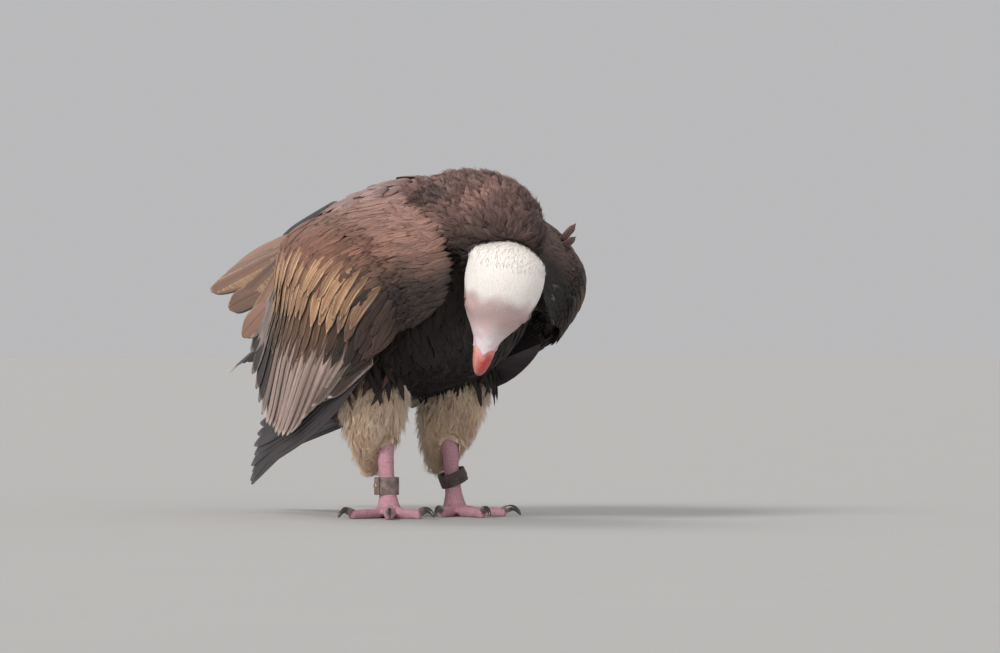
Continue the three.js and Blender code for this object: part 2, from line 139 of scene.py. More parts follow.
# %% [markdown]
# ## Camera, floor and light
# The camera stands far off with a long lens, as for a portrait of a bird, level with its breast.
# The floor is a wide pale disc. Three lamps stand so far off that their light is even over the
# whole floor, and each is broad, which keeps the shadows soft: a warm key from the bird's right, a
# low fill from beside the camera and a rim light from behind.
# %% Camera, floor and lamps
CAMERA_TURN = math.radians(-27)
CAMERA_DISTANCE = 8000
CAMERA_HEIGHT = 206
ASIDE = 81  # how far right of the bird's feet the middle of the picture lies
PICTURE_WIDTH = 1080  # what the frame's width covers at the bird
SENSOR = 36
LAMP_DISTANCE = 4000
SKY = (0.87, 0.87, 0.885, 1)
SKY_STRENGTH = 0.56

view_right = np.array([math.cos(CAMERA_TURN), math.sin(CAMERA_TURN), 0])
view_back = np.array([math.sin(CAMERA_TURN), -math.cos(CAMERA_TURN), 0])
aim = view_right * ASIDE + [0, 0, CAMERA_HEIGHT]


def new_object(name, data):
    thing = bpy.data.objects.new(name, data)
    bpy.context.scene.collection.objects.link(thing)
    return thing


def mesh_from(shape, name):
    """A mesh of a bmesh, which is used up."""
    mesh = bpy.data.meshes.new(name)
    shape.to_mesh(mesh)
    shape.free()
    return mesh


def point_at(thing, place, target):
    thing.location = Vector(to_frame(place))
    thing.rotation_euler = (Vector(to_frame(target)) - thing.location).to_track_quat("-Z", "Y").to_euler()


camera_data = bpy.data.cameras.new("camera")
camera_data.sensor_width = SENSOR
camera_data.lens = SENSOR * CAMERA_DISTANCE / PICTURE_WIDTH
camera_data.clip_end = 100
camera = new_object("camera", camera_data)
bpy.context.scene.camera = camera
point_at(camera, aim + view_back * CAMERA_DISTANCE, aim)

LAMPS = [
    # name, right, towards the camera, up, brightness, softness in degrees, colour
    ("key", -0.75, 0.85, 0.80, 2.2, 20, (1.0, 0.95, 0.88)),
    ("fill", 0.35, 1.00, 0.06, 1.30, 50, (1.0, 0.94, 0.87)),
    ("back", -0.45, -0.85, 0.90, 0.9, 30, (1.0, 0.95, 0.88)),
]
for name, right, back, up, brightness, softness, colour in LAMPS:
    lamp_data = bpy.data.lights.new(name, "SUN")
    lamp_data.angle = math.radians(softness)
    lamp_data.energy = brightness
    lamp_data.color = colour
    lamp = new_object(name, lamp_data)
    point_at(lamp, LAMP_DISTANCE * (view_right * right + view_back * back + [0, 0, up]), [0, 0, 0])

world = bpy.data.worlds.new("studio")
world.use_nodes = True
world.node_tree.nodes["Background"].inputs["Color"].default_value = SKY
world.node_tree.nodes["Background"].inputs["Strength"].default_value = SKY_STRENGTH
bpy.context.scene.world = world
bpy.context.scene.view_settings.view_transform = "Standard"
print("lamps:", len(LAMPS), "lens:", round(camera_data.lens, 1))


# %% [markdown]
# ## Recipes for finishes
# A finish is a small graph of nodes. This helper keeps each recipe short: every call adds one node,
# and its inputs are numbers, colours or the outputs of earlier calls.
# %% A helper for materials
class Finish:
    def __init__(self, name, **sockets):
        self.material = bpy.data.materials.new(name)
        self.material.use_nodes = True
        self.tree = self.material.node_tree
        self.shader = self.tree.nodes["Principled BSDF"]
        for socket, value in sockets.items():
            self.shader.inputs[socket.replace("_", " ")].default_value = value

    def node(self, kind, inputs=(), out=0, **settings):
        made = self.tree.nodes.new(kind)
        for key, value in settings.items():
            setattr(made, key, value)
        for key, value in dict(inputs).items():
            if isinstance(value, bpy.types.NodeSocket):
                self.tree.links.new(value, made.inputs[key])
            else:
                made.inputs[key].default_value = value
        return made.outputs[out]

    def math(self, operation, a, b=0.0):
        return self.node("ShaderNodeMath", {0: a, 1: b}, operation=operation)

    def ramp(self, value, low, high, start=0.0, end=1.0):
        inputs = {"Value": value, "From Min": low, "From Max": high, "To Min": start, "To Max": end}
        return self.node("ShaderNodeMapRange", inputs, interpolation_type="SMOOTHSTEP")

    def mix(self, share, first, second, blend="MIX"):
        inputs = {0: share, 6: first, 7: second}
        return self.node("ShaderNodeMix", inputs, out=2, data_type="RGBA", blend_type=blend)

    def shade(self, colour, amount):
        """The colour times a number."""
        return self.node("ShaderNodeVectorMath", {0: colour, "Scale": amount}, operation="SCALE")

    def place(self):
        return self.node("ShaderNodeTexCoord", out="Object")

    def attribute(self, name, out="Color"):
        return self.node("ShaderNodeAttribute", out=out, attribute_name=name)

    def noise(self, vector, scale, detail=3.0, roughness=0.6):
        inputs = {"Vector": vector, "Scale": scale, "Detail": detail, "Roughness": roughness}
        return self.node("ShaderNodeTexNoise", inputs)

    def stretch(self, vector, x, y, z):
        return self.node("ShaderNodeMapping", {"Vector": vector, "Scale": (x, y, z)})

    def done(self, colour, height=None, depth_mm=0.3, strength=0.6, roughness=None):
        self.tree.links.new(colour, self.shader.inputs["Base Color"])
        if roughness is not None:
            self.tree.links.new(roughness, self.shader.inputs["Roughness"])
        if height is not None:
            inputs = {"Height": height, "Distance": depth_mm * MM, "Strength": strength}
            normal = self.node("ShaderNodeBump", inputs)
            self.tree.links.new(normal, self.shader.inputs["Normal"])
        return self.material


print("finish helper ready")

# %% [markdown]
# The floor is plain matt card. A faint noise keeps it from looking like a computer's flat grey.
# %% Floor
FLOOR_RADIUS = 40
floor_finish = Finish("pale_card", Roughness=0.9)
card = floor_finish.noise(floor_finish.place(), 6.0)
floor_colour = floor_finish.mix(card, (0.393, 0.396, 0.402, 1), (0.411, 0.414, 0.416, 1))
floor_material = floor_finish.done(floor_colour)
shape = bmesh.new()
bmesh.ops.create_circle(shape, cap_ends=True, segments=96, radius=FLOOR_RADIUS)
floor_mesh = mesh_from(shape, "floor")
floor_mesh.materials.append(floor_material)
floor = new_object("floor", floor_mesh)
print("floor radius, m:", FLOOR_RADIUS)


# %% [markdown]
# ## The skin
# The solids of flesh are faceted and meet with small gaps. Each is smoothed with subdivision,
# swelled until the neighbours run into each other, and fused by a voxel remesh, so the bird gets
# one continuous hide. The head and the feet show bare skin, so they get much finer voxels than the
# body, whose hide only carries feathers.
# %% Fuse solids into smooth flesh


def fused(nodes, voxel=None, levels=2, swell=0.8, smoothing=6, also=None):
    """A smooth, slightly swollen mesh of some CAD nodes, one closed surface where a voxel size is given."""
    shape = bmesh.new()
    for node in nodes:
        shape.from_mesh(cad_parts[node].data)
    if also:
        shape.from_mesh(also)
    bmesh.ops.remove_doubles(shape, verts=shape.verts, dist=0.02 * MM)
    bmesh.ops.join_triangles(
        shape, faces=shape.faces, angle_face_threshold=math.radians(30),
        angle_shape_threshold=math.radians(40)
    )
    lump = new_object("flesh", mesh_from(shape, "flesh"))
    rounding = lump.modifiers.new("rounding", "SUBSURF")
    rounding.levels = rounding.render_levels = levels
    swelling = lump.modifiers.new("swelling", "DISPLACE")
    swelling.strength = swell * MM
    swelling.mid_level = 0
    if voxel:
        fusing = lump.modifiers.new("fusing", "REMESH")
        fusing.mode = "VOXEL"
        fusing.voxel_size = voxel * MM
        easing = lump.modifiers.new("easing", "SMOOTH")
        easing.factor = 0.5
        easing.iterations = smoothing
    fine = bpy.data.meshes.new_from_object(lump.evaluated_get(bpy.context.evaluated_depsgraph_get()))
    bpy.data.objects.remove(lump)
    return fine


def values_of(items, field, width, kind=float):
    """One field of every point, corner or face, as a table `width` numbers wide."""
    values = np.empty(len(items) * width, kind)
    items.foreach_get(field, values)
    return values.reshape(-1, width)


def points_of(mesh):
    return to_bird(values_of(mesh.vertices, "co", 3))


def normals_of(mesh):
    return values_of(mesh.vertex_normals, "vector", 3)


def set_points(mesh, points):
    mesh.vertices.foreach_set("co", to_frame(points).ravel())
    mesh.update()


TOE_NAMES = ["1", "2", "3", "4"]
BODY_NODES = ["trunk", "neck", "wing_right_arm", "wing_left_arm", "thigh_right", "thigh_left"]
LEG_NODES = [f"shank_{side}" for side in SIDES]
LEG_NODES += [f"toe_{side}_{toe}" for side in SIDES for toe in TOE_NAMES]
SHOULDER_NODES = ["scapulars_right", "scapulars_left"]
shoulder_mesh = fused(SHOULDER_NODES, voxel=4.5, swell=4.5, smoothing=4)
body_mesh = fused(BODY_NODES, voxel=5.2, smoothing=8, also=shoulder_mesh)
HEAD_NODES = ["head", "eye_right", "eye_left", "bill_upper", "bill_lower"]
head_mesh = fused(HEAD_NODES, voxel=1.1, levels=3, smoothing=12)
leg_mesh = fused(LEG_NODES, voxel=1.1, swell=1.0, smoothing=4)
for mesh in (body_mesh, head_mesh, leg_mesh):
    print("flesh:", len(mesh.vertices), "points")

# %% [markdown]
# The hide lies inside the coat's outline by the coat's depth: deep under the breast and the ruff,
# shallow on the forearm. Each point of the body takes the depth of the solids nearest to it,
# blended so that no step shows.
# %% Sink the body's skin under its coat
COAT_DEPTH = {
    "trunk": 5, "neck": 4, "wing_right_arm": 3, "wing_left_arm": 3, "thigh_right": 1.5, "thigh_left": 1.5
}
SHOULDER_DEPTH = 7
BLEND_REACH = 7
SWELL = 0.8
TUCK_AT = (134, -76, 306)
TUCK_REACH = 34
TUCK_DEPTH = 9


def tucked(points, outward):
    """The left shoulder is tucked in under the cape: points near it are drawn inwards."""
    gap = np.linalg.norm(points - TUCK_AT, axis=-1)
    return points - outward * (TUCK_DEPTH * bell(gap, TUCK_REACH))[..., None]


def tree_of(*nodes):
    shape = bmesh.new()
    for node in nodes:
        shape.from_mesh(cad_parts[node].data)
    tree = BVHTree.FromBMesh(shape)
    shape.free()
    return tree


def distances(points, nodes):
    """How far each point is from each node's surface, in mm, as one row for each node."""
    places = [Vector(p) for p in to_frame(points)]
    return np.array([[tree.find_nearest(p)[3] / MM for p in places] for tree in map(tree_of, nodes)])


body_points = points_of(body_mesh)
body_normals = normals_of(body_mesh)
node_distance = distances(body_points, BODY_NODES + SHOULDER_NODES)
node_share = np.exp(-node_distance / BLEND_REACH)
node_share /= node_share.sum(axis=0)
node_depth = [COAT_DEPTH[node] + SWELL for node in BODY_NODES] + 2 * [SHOULDER_DEPTH + SWELL]
depth = np.array(node_depth) @ node_share
rolls = 1.6 * ripple(body_points, 42, 13) + 0.9 * ripple(body_points, 22, 14)
rolls *= node_share[0] + node_share[1]
body_points = tucked(body_points + body_normals * (rolls - depth)[:, None], body_normals)
set_points(body_mesh, body_points)
body_part = np.argmax(node_share, axis=0)
print("body skin sinks by", round(depth.min(), 1), "to", round(depth.max(), 1), "mm")

# %% [markdown]
# ## The head
# A vulture's face is bare. Its skin is modelled by pushing the points in and out: a brow ridge that
# shades the eye, a hollow in front of it, a full cheek, the line of the gape, an ear hole behind,
# and fine cross folds where the skin creases as the bird bows. The cere is skin too: it wraps the
# root of the bill, is pierced by the slit nostrils, and ends in a swollen edge, further forward on
# the ridge than on the sides. Beyond that edge the skin dives under the horn. The lids are the skin
# itself: it bulges over the eyeball and drops in at an oval opening. Where head and bill were fused
# there was a step, so the points around it are first moved towards their neighbours, many times
# over.
# %% Sculpt the head
CERE_START = 34
CERE_EDGE = 53  # how far forward the cere reaches on the sides of the bill
CERE_POINT = 7  # how much further it runs down the ridge
ROOT_OF_BILL = 37
SMOOTHINGS = 45
EAR_AT = (-19, 40, -6)
MOUNDS = {
    # push outwards, then place and reach: forward, to the side and towards the crown
    "brow": (2.6, (4, 32, 15), (13, 7, 4.5)),
    "hollow before the eye": (-0.8, (23, 19, 6), (7, 7, 6)),
    "cheek": (1.7, (25, 24, -3), (13, 12, 22)),
    "below the eye": (1.4, (4, 30, -15), (13, 9, 8)),
    "ear": (-2.2, EAR_AT, (3.6, 9, 2.6)),
}
head_points = points_of(head_mesh)
head_normals = normals_of(head_mesh)
head_points = head_points - head_normals * (SWELL + 0.2)
head_edges = np.array([edge.vertices for edge in head_mesh.edges])
neighbours = np.bincount(head_edges.ravel(), minlength=len(head_points))[:, None]
smoothed = np.exp(-(((on_head(head_points)[:, :1] - ROOT_OF_BILL) / 9) ** 4))
for _ in range(SMOOTHINGS):
    total = np.zeros_like(head_points)
    np.add.at(total, head_edges[:, 0], head_points[head_edges[:, 1]])
    np.add.at(total, head_edges[:, 1], head_points[head_edges[:, 0]])
    head_points = head_points + 0.7 * smoothed * (total / neighbours - head_points)
forward, left, dorsal = on_head(head_points).T
sideways = np.abs(left)


def mound(centre, reach):
    """1 at a place on both sides of the head, fading to 0 over `reach` mm each way."""
    gap = (np.stack([forward, sideways, dorsal]) - np.array(centre)[:, None]) / np.array(reach)[:, None]
    return np.exp(-np.sum(gap**2, axis=0))


bare = ease(forward, -8, 6)
push = np.zeros(len(head_points))
for amount, centre, reach in MOUNDS.values():
    push += amount * mound(centre, reach)
push += 1.0 * (mound(EAR_AT, (8, 9, 7)) - mound(EAR_AT, (5, 9, 4.5)))
gape = -12.5 - 0.12 * (38 - forward)
push -= 1.1 * bell(dorsal - gape, 1.3) * ease(forward, 4, 12) * ease(sideways, 6, 11)
folds = np.sin(2 * math.pi * (forward + 4 * ripple(head_points, 22, 3)) / 3.4)
folded = ease(ripple(head_points, 24, 4), -0.3, 0.8) * ease(forward, 2, 14) * (1 - ease(forward, 30, 36))
push += 0.13 * folds * folded * ease(sideways, 4, 16)
creases = np.sin(2 * math.pi * (dorsal + 0.3 * forward + 4 * ripple(head_points, 18, 5)) / 4.2)
push += 0.16 * creases * bare * ease(sideways, 14, 24)
push += 0.4 * ripple(head_points, 14, 8) * bare
push += mound((-44, 34, 6), (11, 13, 24)) * np.where(left < 0, 4.2, 1.2)
push += 0.9 * bell(forward - ROOT_OF_BILL, 6)


def past_cere(points, forward, left, dorsal):
    """How many mm each point lies beyond the cere's edge."""
    ridge = CERE_POINT * bell(left, 4.5) * (dorsal > 0)
    return forward + 0.7 * ripple(points, 6, 51) - CERE_EDGE - ridge


def nostril(forward, left, dorsal):
    """1 in the slit of a nostril, fading to 0 around it."""
    slit = ((forward - 46.5) / 3.6) ** 2 + ((dorsal - 4.5 - 0.5 * (forward - 46.5)) / 1.5) ** 2
    return np.exp(-slit) * (np.abs(left) > 5)


past = past_cere(head_points, forward, left, dorsal)
swollen_edge = 0.5 * bell(past + 2, 1.6)
push += 0.9 * ease(forward, CERE_START, 44) * (1 - ease(past, -1.5, 2.5)) + swollen_edge
push -= 3.2 * ease(past, -0.6, 3.0) + 2.4 * nostril(forward, left, dorsal)
head_points = head_points + head_normals * push[:, None]

# the bill is carried a little to the bird's right, and the face leans with it
BILL_ASIDE = 3.0


def leaned(points):
    forward = on_head(points)[:, 0]
    return points - HEAD_LEFT * (BILL_ASIDE * ease(forward, -10, 55))[:, None]


head_points = leaned(head_points)

# %% [markdown]
# Each lid opening is an oval, longer from front to back than it is high. Outside it the skin stays
# a lid's thickness proud of the eyeball; inside it the skin drops behind the eyeball, which is a
# piece of its own.
# %% Open the lids
LID_THICKNESS = 1.0
LID_LONG = 7.0
LID_HIGH = 5.6
for side in SIDES.values():
    centre = head_point(EYE_FORWARD, side * EYE_SPREAD, EYE_RISE)
    offset = (head_points - centre) @ HEAD_AXES.T
    offset[:, 1] *= side
    reach = np.linalg.norm(offset, axis=1)
    outward = offset[:, 1] / np.maximum(reach, 1e-6)
    long = offset[:, 0] / LID_LONG
    high = (offset[:, 2] + 0.05 * offset[:, 0]) / LID_HIGH
    ring = np.hypot(long, high)
    near = (outward > 0.1) & (reach < 22)
    lid = EYE_RADIUS + LID_THICKNESS
    rim = 0.4 * bell(ring - 1.12, 0.14) + 0.3 * bell(ring - 1.55, 0.13)
    over = (1 - ease(ring, 1.5, 2.3)) * np.maximum(lid - reach, 0) + rim
    inside = 1 - ease(ring, 0.9, 1.02)
    wanted = reach + over
    wanted = wanted * (1 - inside) + (EYE_RADIUS - 2.2) * inside
    scale = np.where(near, wanted / np.maximum(reach, 1e-6), 1)
    head_points = centre + (head_points - centre) * scale[:, None]
set_points(head_mesh, head_points)
print("head skin:", len(head_points), "points, lids open", 2 * LID_LONG, "by", 2 * LID_HIGH, "mm")

# %% [markdown]
# ## The feet
# A raptor's toes carry a row of broad plates on top and pebbled scales elsewhere. The plates are
# cut into the skin itself, as a groove every few millimetres along each toe; the pebbles are fine
# enough to be a finish.
# %% Groove the toes and shanks
LEGS = {
    "right": {"side": RIGHT, "foot": (-50, -14), "ankle": (-48, 2), "turnout": 22},
    "left": {"side": LEFT, "foot": (50, 26), "ankle": (49, 42), "turnout": -8},
}
TOES = {"1": (172, 36), "2": (-36, 52), "3": (4, 76), "4": (50, 58)}  # turn in degrees and length
PLATE_PITCH = 3.7


def toe_direction(leg, toe):
    turn = math.radians(TOES[toe][0] + leg["turnout"]) * leg["side"]
    return np.array([math.sin(turn), -math.cos(turn)])


leg_points = points_of(leg_mesh)
leg_normals = normals_of(leg_mesh)
leg_points = leg_points - leg_normals * 1.0
groove = np.zeros(len(leg_points))
for name, leg in LEGS.items():
    offset = leg_points[:, :2] - leg["foot"]
    for toe, (_, length) in TOES.items():
        ahead = toe_direction(leg, toe)
        along = offset @ ahead
        aside = np.abs(offset @ [ahead[1], -ahead[0]])
        there = (along > 9) & (along < length + 4) & (aside < 9)
        plate = np.abs(np.sin(math.pi * along / PLATE_PITCH)) ** 0.35
        groove = np.where(there, (plate - 1) * ease(leg_normals[:, 2], -0.1, 0.5), groove)
    offset = leg_points - [*leg["foot"], 0]
    on_shank = (leg_points[:, 2] > 16) & (np.hypot(offset[:, 0], offset[:, 1]) < 28)
    front = ease(-leg_normals[:, 1], 0.3, 0.8)
    rows = np.abs(np.sin(math.pi * leg_points[:, 2] / 4.6)) ** 0.4
    groove = np.where(on_shank, (rows - 1) * 0.55 * front, groove)
leg_points = leg_points + leg_normals * (0.62 * groove + 0.18 * ripple(leg_points, 6, 11))[:, None]
leg_points[:, 2] = np.maximum(leg_points[:, 2], 0)
set_points(leg_mesh, leg_points)
print("leg skin:", len(leg_points), "points, plates every", PLATE_PITCH, "mm")

# %% [markdown]
# ## The colours of skin and coat
# The coat's colours are set by where a feather grows, so one function serves the hide and the
# feathers: black-brown on the breast, mottled brown on the ruff, dark purple-brown on the back, which
# is painted lighter on top as if lit, and cream on the trousers, which turn tan towards their hems.
# %% Where each colour lies
BLACK_BROWN = (0.019, 0.0145, 0.0135)
WARM_BROWN = (0.120, 0.066, 0.048)
PALE_AND_LIT_BROWN = (0.185, 0.115, 0.103)
SHOULDER_BROWN = (0.255, 0.160, 0.150)
RUFF_BROWN = (0.150, 0.086, 0.077)
RUFF_LIT = (0.250, 0.146, 0.128)
CREAM = (0.98, 0.77, 0.57)
HEM_TAN = (0.86, 0.54, 0.30)
CROWN_WHITE = (0.86, 0.82, 0.795)
FACE_PINK = (0.53, 0.395, 0.395)
FACE_LILAC = (0.62, 0.54, 0.58)
LID_ROSE = (0.36, 0.20, 0.20)
CERE_BLUE = (0.72, 0.67, 0.72)
CERE_PINK = (0.72, 0.56, 0.58)
CORAL_PALE_AND_LIT = (0.76, 0.30, 0.26)
LEG_PINK = (0.55, 0.31, 0.38)
LEG_GROOVE = (0.36, 0.14, 0.21)
TRUNK, NECK, ARM_RIGHT, ARM_LEFT, THIGH_RIGHT, THIGH_LEFT, SHOULDER_RIGHT, SHOULDER_LEFT = range(8)


def by_part(part, trunk, neck, thigh, shoulder, arm):
    """For each point, the row of the part of the body on which it lies."""
    part = np.asarray(part)[:, None]
    of_thigh = (part == THIGH_RIGHT) | (part == THIGH_LEFT)
    wanted = [part == TRUNK, part == NECK, of_thigh, part > THIGH_LEFT]
    return np.select(wanted, [trunk, neck, thigh, shoulder], arm)


def coat_colour(points, part):
    """The colour of the feathers that grow at each point of the body."""
    height = points[:, 2]
    behind = points[:, 1]
    belly = blend_colours(ease(behind, 60, 170), BLACK_BROWN, WARM_BROWN)
    # painted light: the trunk turns a paler brown from 290 to 330 mm up, as if lit from above
    trunk = blend_colours(ease(height, 290, 330), belly, PALE_AND_LIT_BROWN)
    lit = ease(height + 16 * ripple(points, 60, 21), 270, 360)
    neck = blend_colours(lit, BLACK_BROWN, RUFF_BROWN)
    neck = blend_colours(0.6 * ease(ripple(points, 30, 22), 0.1, 0.9) * lit, neck, RUFF_LIT)
    neck = blend_colours(0.6 * ease(-ripple(points, 22, 25), 0.4, 1.1), neck, BLACK_BROWN)
    low = 1 - ease(height + 14 * ripple(points, 30, 23), 62, 135)
    thigh = blend_colours(0.5 * low, CREAM, HEM_TAN)
    thigh = blend_colours(ease(height + 7 * ripple(points, 14, 24), 150, 158), thigh, BLACK_BROWN)
    arm = np.broadcast_to(WARM_BROWN, points.shape)
    shoulder = blend_colours(ease(behind, 40, 120), SHOULDER_BROWN, BLACK_BROWN)
    return by_part(part, trunk, neck, thigh, shoulder, arm)


def bare_colour(points, past):
    """The head's skin: white over the crown, pink on the face, lilac near the cere."""
    forward, left, dorsal = on_head(points).T
    sideways = np.abs(left)
    colour = blend_colours(ease(forward + 3 * ripple(points, 12, 31), -10, 8), CROWN_WHITE, FACE_PINK)
    colour = blend_colours(0.8 * ease(forward, 20, 40), colour, FACE_LILAC)
    flush = ease(ripple(points, 9, 32), 0.3, 1.1) * ease(forward, -4, 8)
    colour = blend_colours(0.3 * flush, colour, (0.66, 0.38, 0.38))
    cere = blend_colours(0.5 + 0.5 * ripple(points, 14, 52), CERE_BLUE, CERE_PINK)
    cere = blend_colours(0.55 * ease(past, -6, 0.5), cere, CORAL_PALE_AND_LIT)
    # painted shade: the slit of each nostril is painted near black, as the shade inside the hole
    cere = blend_colours(0.9 * nostril(forward, left, dorsal), cere, (0.10, 0.05, 0.06))
    colour = blend_colours(ease(forward + 2 * ripple(points, 10, 33), CERE_START - 3, 45), colour, cere)
    gap = np.stack([forward - EYE_FORWARD, dorsal - EYE_RISE])
    round_eye = np.hypot(gap[0] / 12, gap[1] / 10)
    round_eye = np.where(sideways > 18, round_eye, 9)
    colour = blend_colours(0.75 * (1 - ease(round_eye, 0.55, 1.15)), colour, LID_ROSE)
    # painted shade: the ear hole is painted dark red-brown, as the shade inside it
    ear = np.hypot((forward + 19) / 5, (dorsal + 6) / 4)
    ear = np.where(sideways > 25, ear, 9)
    return blend_colours(0.85 * (1 - ease(ear, 0.5, 1.1)), colour, (0.20, 0.08, 0.08))


def leg_colour(points, groove):
    colour = blend_colours(0.5 + 0.5 * ripple(points, 25, 41), LEG_PINK, (0.54, 0.29, 0.36))
    colour = blend_colours(0.3 * ease(points[:, 2], 40, 80), colour, (0.66, 0.44, 0.50))
    return blend_colours(0.75 * ease(-groove, 0.1, 0.8), colour, LEG_GROOVE)


print("sample of the breast:", coat_colour(np.array([[0.0, -150, 200]]), [TRUNK])[0])

# %% [markdown]
# The three skins become one object. It carries its colour and two masks in its points, and a map
# that is an unwrap of its own shape. Every feather later takes its place on that map from the spot
# where it is rooted.
# %% One skin


def attribute(mesh, name, kind, values):
    layer = mesh.attributes.new(name, kind, "POINT")
    field = {"FLOAT_COLOR": "color", "FLOAT": "value"}[kind]
    layer.data.foreach_set(field, np.ascontiguousarray(values, np.float32).ravel())


def opaque(colours):
    return np.concatenate([colours, np.ones((len(colours), 1))], axis=1)


def new_piece(name, mesh, slot, *nodes):
    """An object of the vulture, which rides on its one body and stands for some of its solids."""
    piece = new_object(name, mesh)
    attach(piece, "root")
    if nodes:
        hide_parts(*nodes)
    return piece


shape = bmesh.new()
for mesh in (body_mesh, head_mesh, leg_mesh):
    shape.from_mesh(mesh)
for face in shape.faces:
    face.smooth = True
skin_mesh = mesh_from(shape, "skin")
skin_tints = [
    coat_colour(body_points, body_part) * 0.8,
    bare_colour(head_points, past),
    leg_colour(leg_points, groove),
]
counts = [len(body_points), len(head_points), len(leg_points)]
attribute(skin_mesh, "tint", "FLOAT_COLOR", opaque(np.concatenate(skin_tints)))
attribute(skin_mesh, "scaly", "FLOAT", np.repeat([0.0, 0.0, 1.0], counts))
attribute(skin_mesh, "bare", "FLOAT", np.concatenate([np.zeros(counts[0]), bare, np.zeros(counts[2])]))
skin = new_piece("skin", skin_mesh, "body_plumage", "head", *BODY_NODES, *LEG_NODES)

bpy.context.view_layer.objects.active = skin
skin.select_set(True)
bpy.ops.object.mode_set(mode="EDIT")
bpy.ops.mesh.select_all(action="SELECT")
bpy.ops.uv.smart_project(angle_limit=math.radians(72), island_margin=0.002)
bpy.ops.object.mode_set(mode="OBJECT")
skin.select_set(False)
skin_mesh.uv_layers.active.name = "OFBake"
print("skin:", len(skin_mesh.vertices), "points in", len(skin_mesh.uv_layers), "map")

# %% [markdown]
# Bare skin is matt but alive: its colour breaks up into pores and small veins, and light goes a
# little way in. The legs get pebbled scales from the cells of a Voronoi pattern, raised in the
# middle and dark in the seams.
# %% Finish of the skin
hide = Finish("skin_and_scales", Roughness=0.62, Subsurface_Weight=0.12, Subsurface_Scale=0.003)
place = hide.place()
tint = hide.attribute("tint")
scaly = hide.attribute("scaly", out="Fac")
bald = hide.attribute("bare", out="Fac")
cells = hide.node(
    "ShaderNodeTexVoronoi", {"Vector": hide.stretch(place, 1, 1, 0.8), "Scale": 540.0},
    feature="DISTANCE_TO_EDGE"
)
pebbles = hide.ramp(cells, 0.02, 0.22)
pores = hide.noise(place, 900.0, detail=4.0)
veins = hide.noise(place, 160.0, detail=6.0, roughness=0.7)
seams = hide.math("MULTIPLY", hide.math("SUBTRACT", 1.0, pebbles), scaly)
colour = hide.mix(hide.ramp(veins, 0.45, 0.75, 0.0, 0.28), tint, (0.58, 0.30, 0.30, 1))
colour = hide.mix(hide.math("MAXIMUM", bald, scaly), tint, colour)
colour = hide.shade(colour, hide.ramp(pores, 0.3, 0.7, 0.9, 1.08))
colour = hide.mix(hide.math("MULTIPLY", seams, 0.42), colour, (0.34, 0.15, 0.21, 1))
relief = hide.math("ADD", hide.math("MULTIPLY", pebbles, scaly), hide.math("MULTIPLY", pores, 0.35))
skin_finish = hide.done(colour, relief, depth_mm=0.5, strength=0.8)
skin_mesh.materials.append(skin_finish)
print("finish:", skin_finish.name)

# %% [markdown]
# ## Bill, eyes and claws
# The bill is horn over bone, coral red with a darker hooked tip. It grows out from under the cere,
# so its root is drawn in a little where the cere covers it, and its colour is palest where it is
# newest. Its right side is painted paler coral and its left side deeper, as painted light and shade.
# %% Bill
CORAL_SHADED = (0.62, 0.075, 0.065)
HORN_TIP = (0.34, 0.07, 0.05)


def horn_colour(points, forward, left, dorsal, past):
    # painted light and shade: the bill's right side is pale coral as if lit, its left side deep coral as if
    # in shade
    horn = blend_colours(ease(left + 1.5 * ripple(points, 9, 53), -9, 6), CORAL_PALE_AND_LIT, CORAL_SHADED)
    horn = blend_colours(0.5 * (1 - ease(past, 0, 9)), horn, (0.80, 0.46, 0.42))
    return blend_colours(ease(forward - 0.25 * dorsal, 80, 90), horn, HORN_TIP)


for node in ("bill_upper", "bill_lower"):
    mesh = fused([node], voxel=0.6, levels=3, swell=0.3, smoothing=5)
    points = points_of(mesh)
    normals = normals_of(mesh)
    forward, left, dorsal = on_head(points).T
    past = past_cere(points, forward, left, dorsal)
    colour = horn_colour(points, forward, left, dorsal, past)
    push = 0.1 * ripple(points, 4, 54) - 2.2 * (1 - ease(past, -2.2, 0.2))
    narrower = 0.14 * ease(forward, 58, 84) * left
    set_points(mesh, leaned(points) + normals * push[:, None] - np.outer(narrower, HEAD_LEFT))
    mesh.shade_smooth()
    attribute(mesh, "tint", "FLOAT_COLOR", opaque(colour))
    mesh.name = node
    new_piece(f"{node}_horn", mesh, "bill", node)
    print(node, len(mesh.vertices), "points")

# %% [markdown]
# Horn is glossier than the cere, and has fine growth lines along its length.
# %% Finish of the bill
horn_finish = Finish("bill_horn", Subsurface_Weight=0.15, Subsurface_Scale=0.003, Coat_Weight=0.15)
place = horn_finish.place()
lines = horn_finish.noise(horn_finish.stretch(place, 1500, 1500, 220), 1.0, detail=2.0)
specks = horn_finish.noise(place, 420.0, detail=5.0)
colour = horn_finish.shade(horn_finish.attribute("tint"), horn_finish.ramp(specks, 0.3, 0.7, 0.86, 1.1))
colour = horn_finish.shade(colour, horn_finish.ramp(lines, 0.3, 0.7, 0.93, 1.05))
gloss = horn_finish.ramp(specks, 0.3, 0.7, 0.32, 0.42)
relief = horn_finish.math("ADD", lines, specks)
bill_material = horn_finish.done(colour, relief, depth_mm=0.15, strength=0.5, roughness=gloss)
for node in ("bill_upper", "bill_lower"):
    bpy.data.objects[f"{node}_horn"].data.materials.append(bill_material)
print("finish:", bill_material.name)

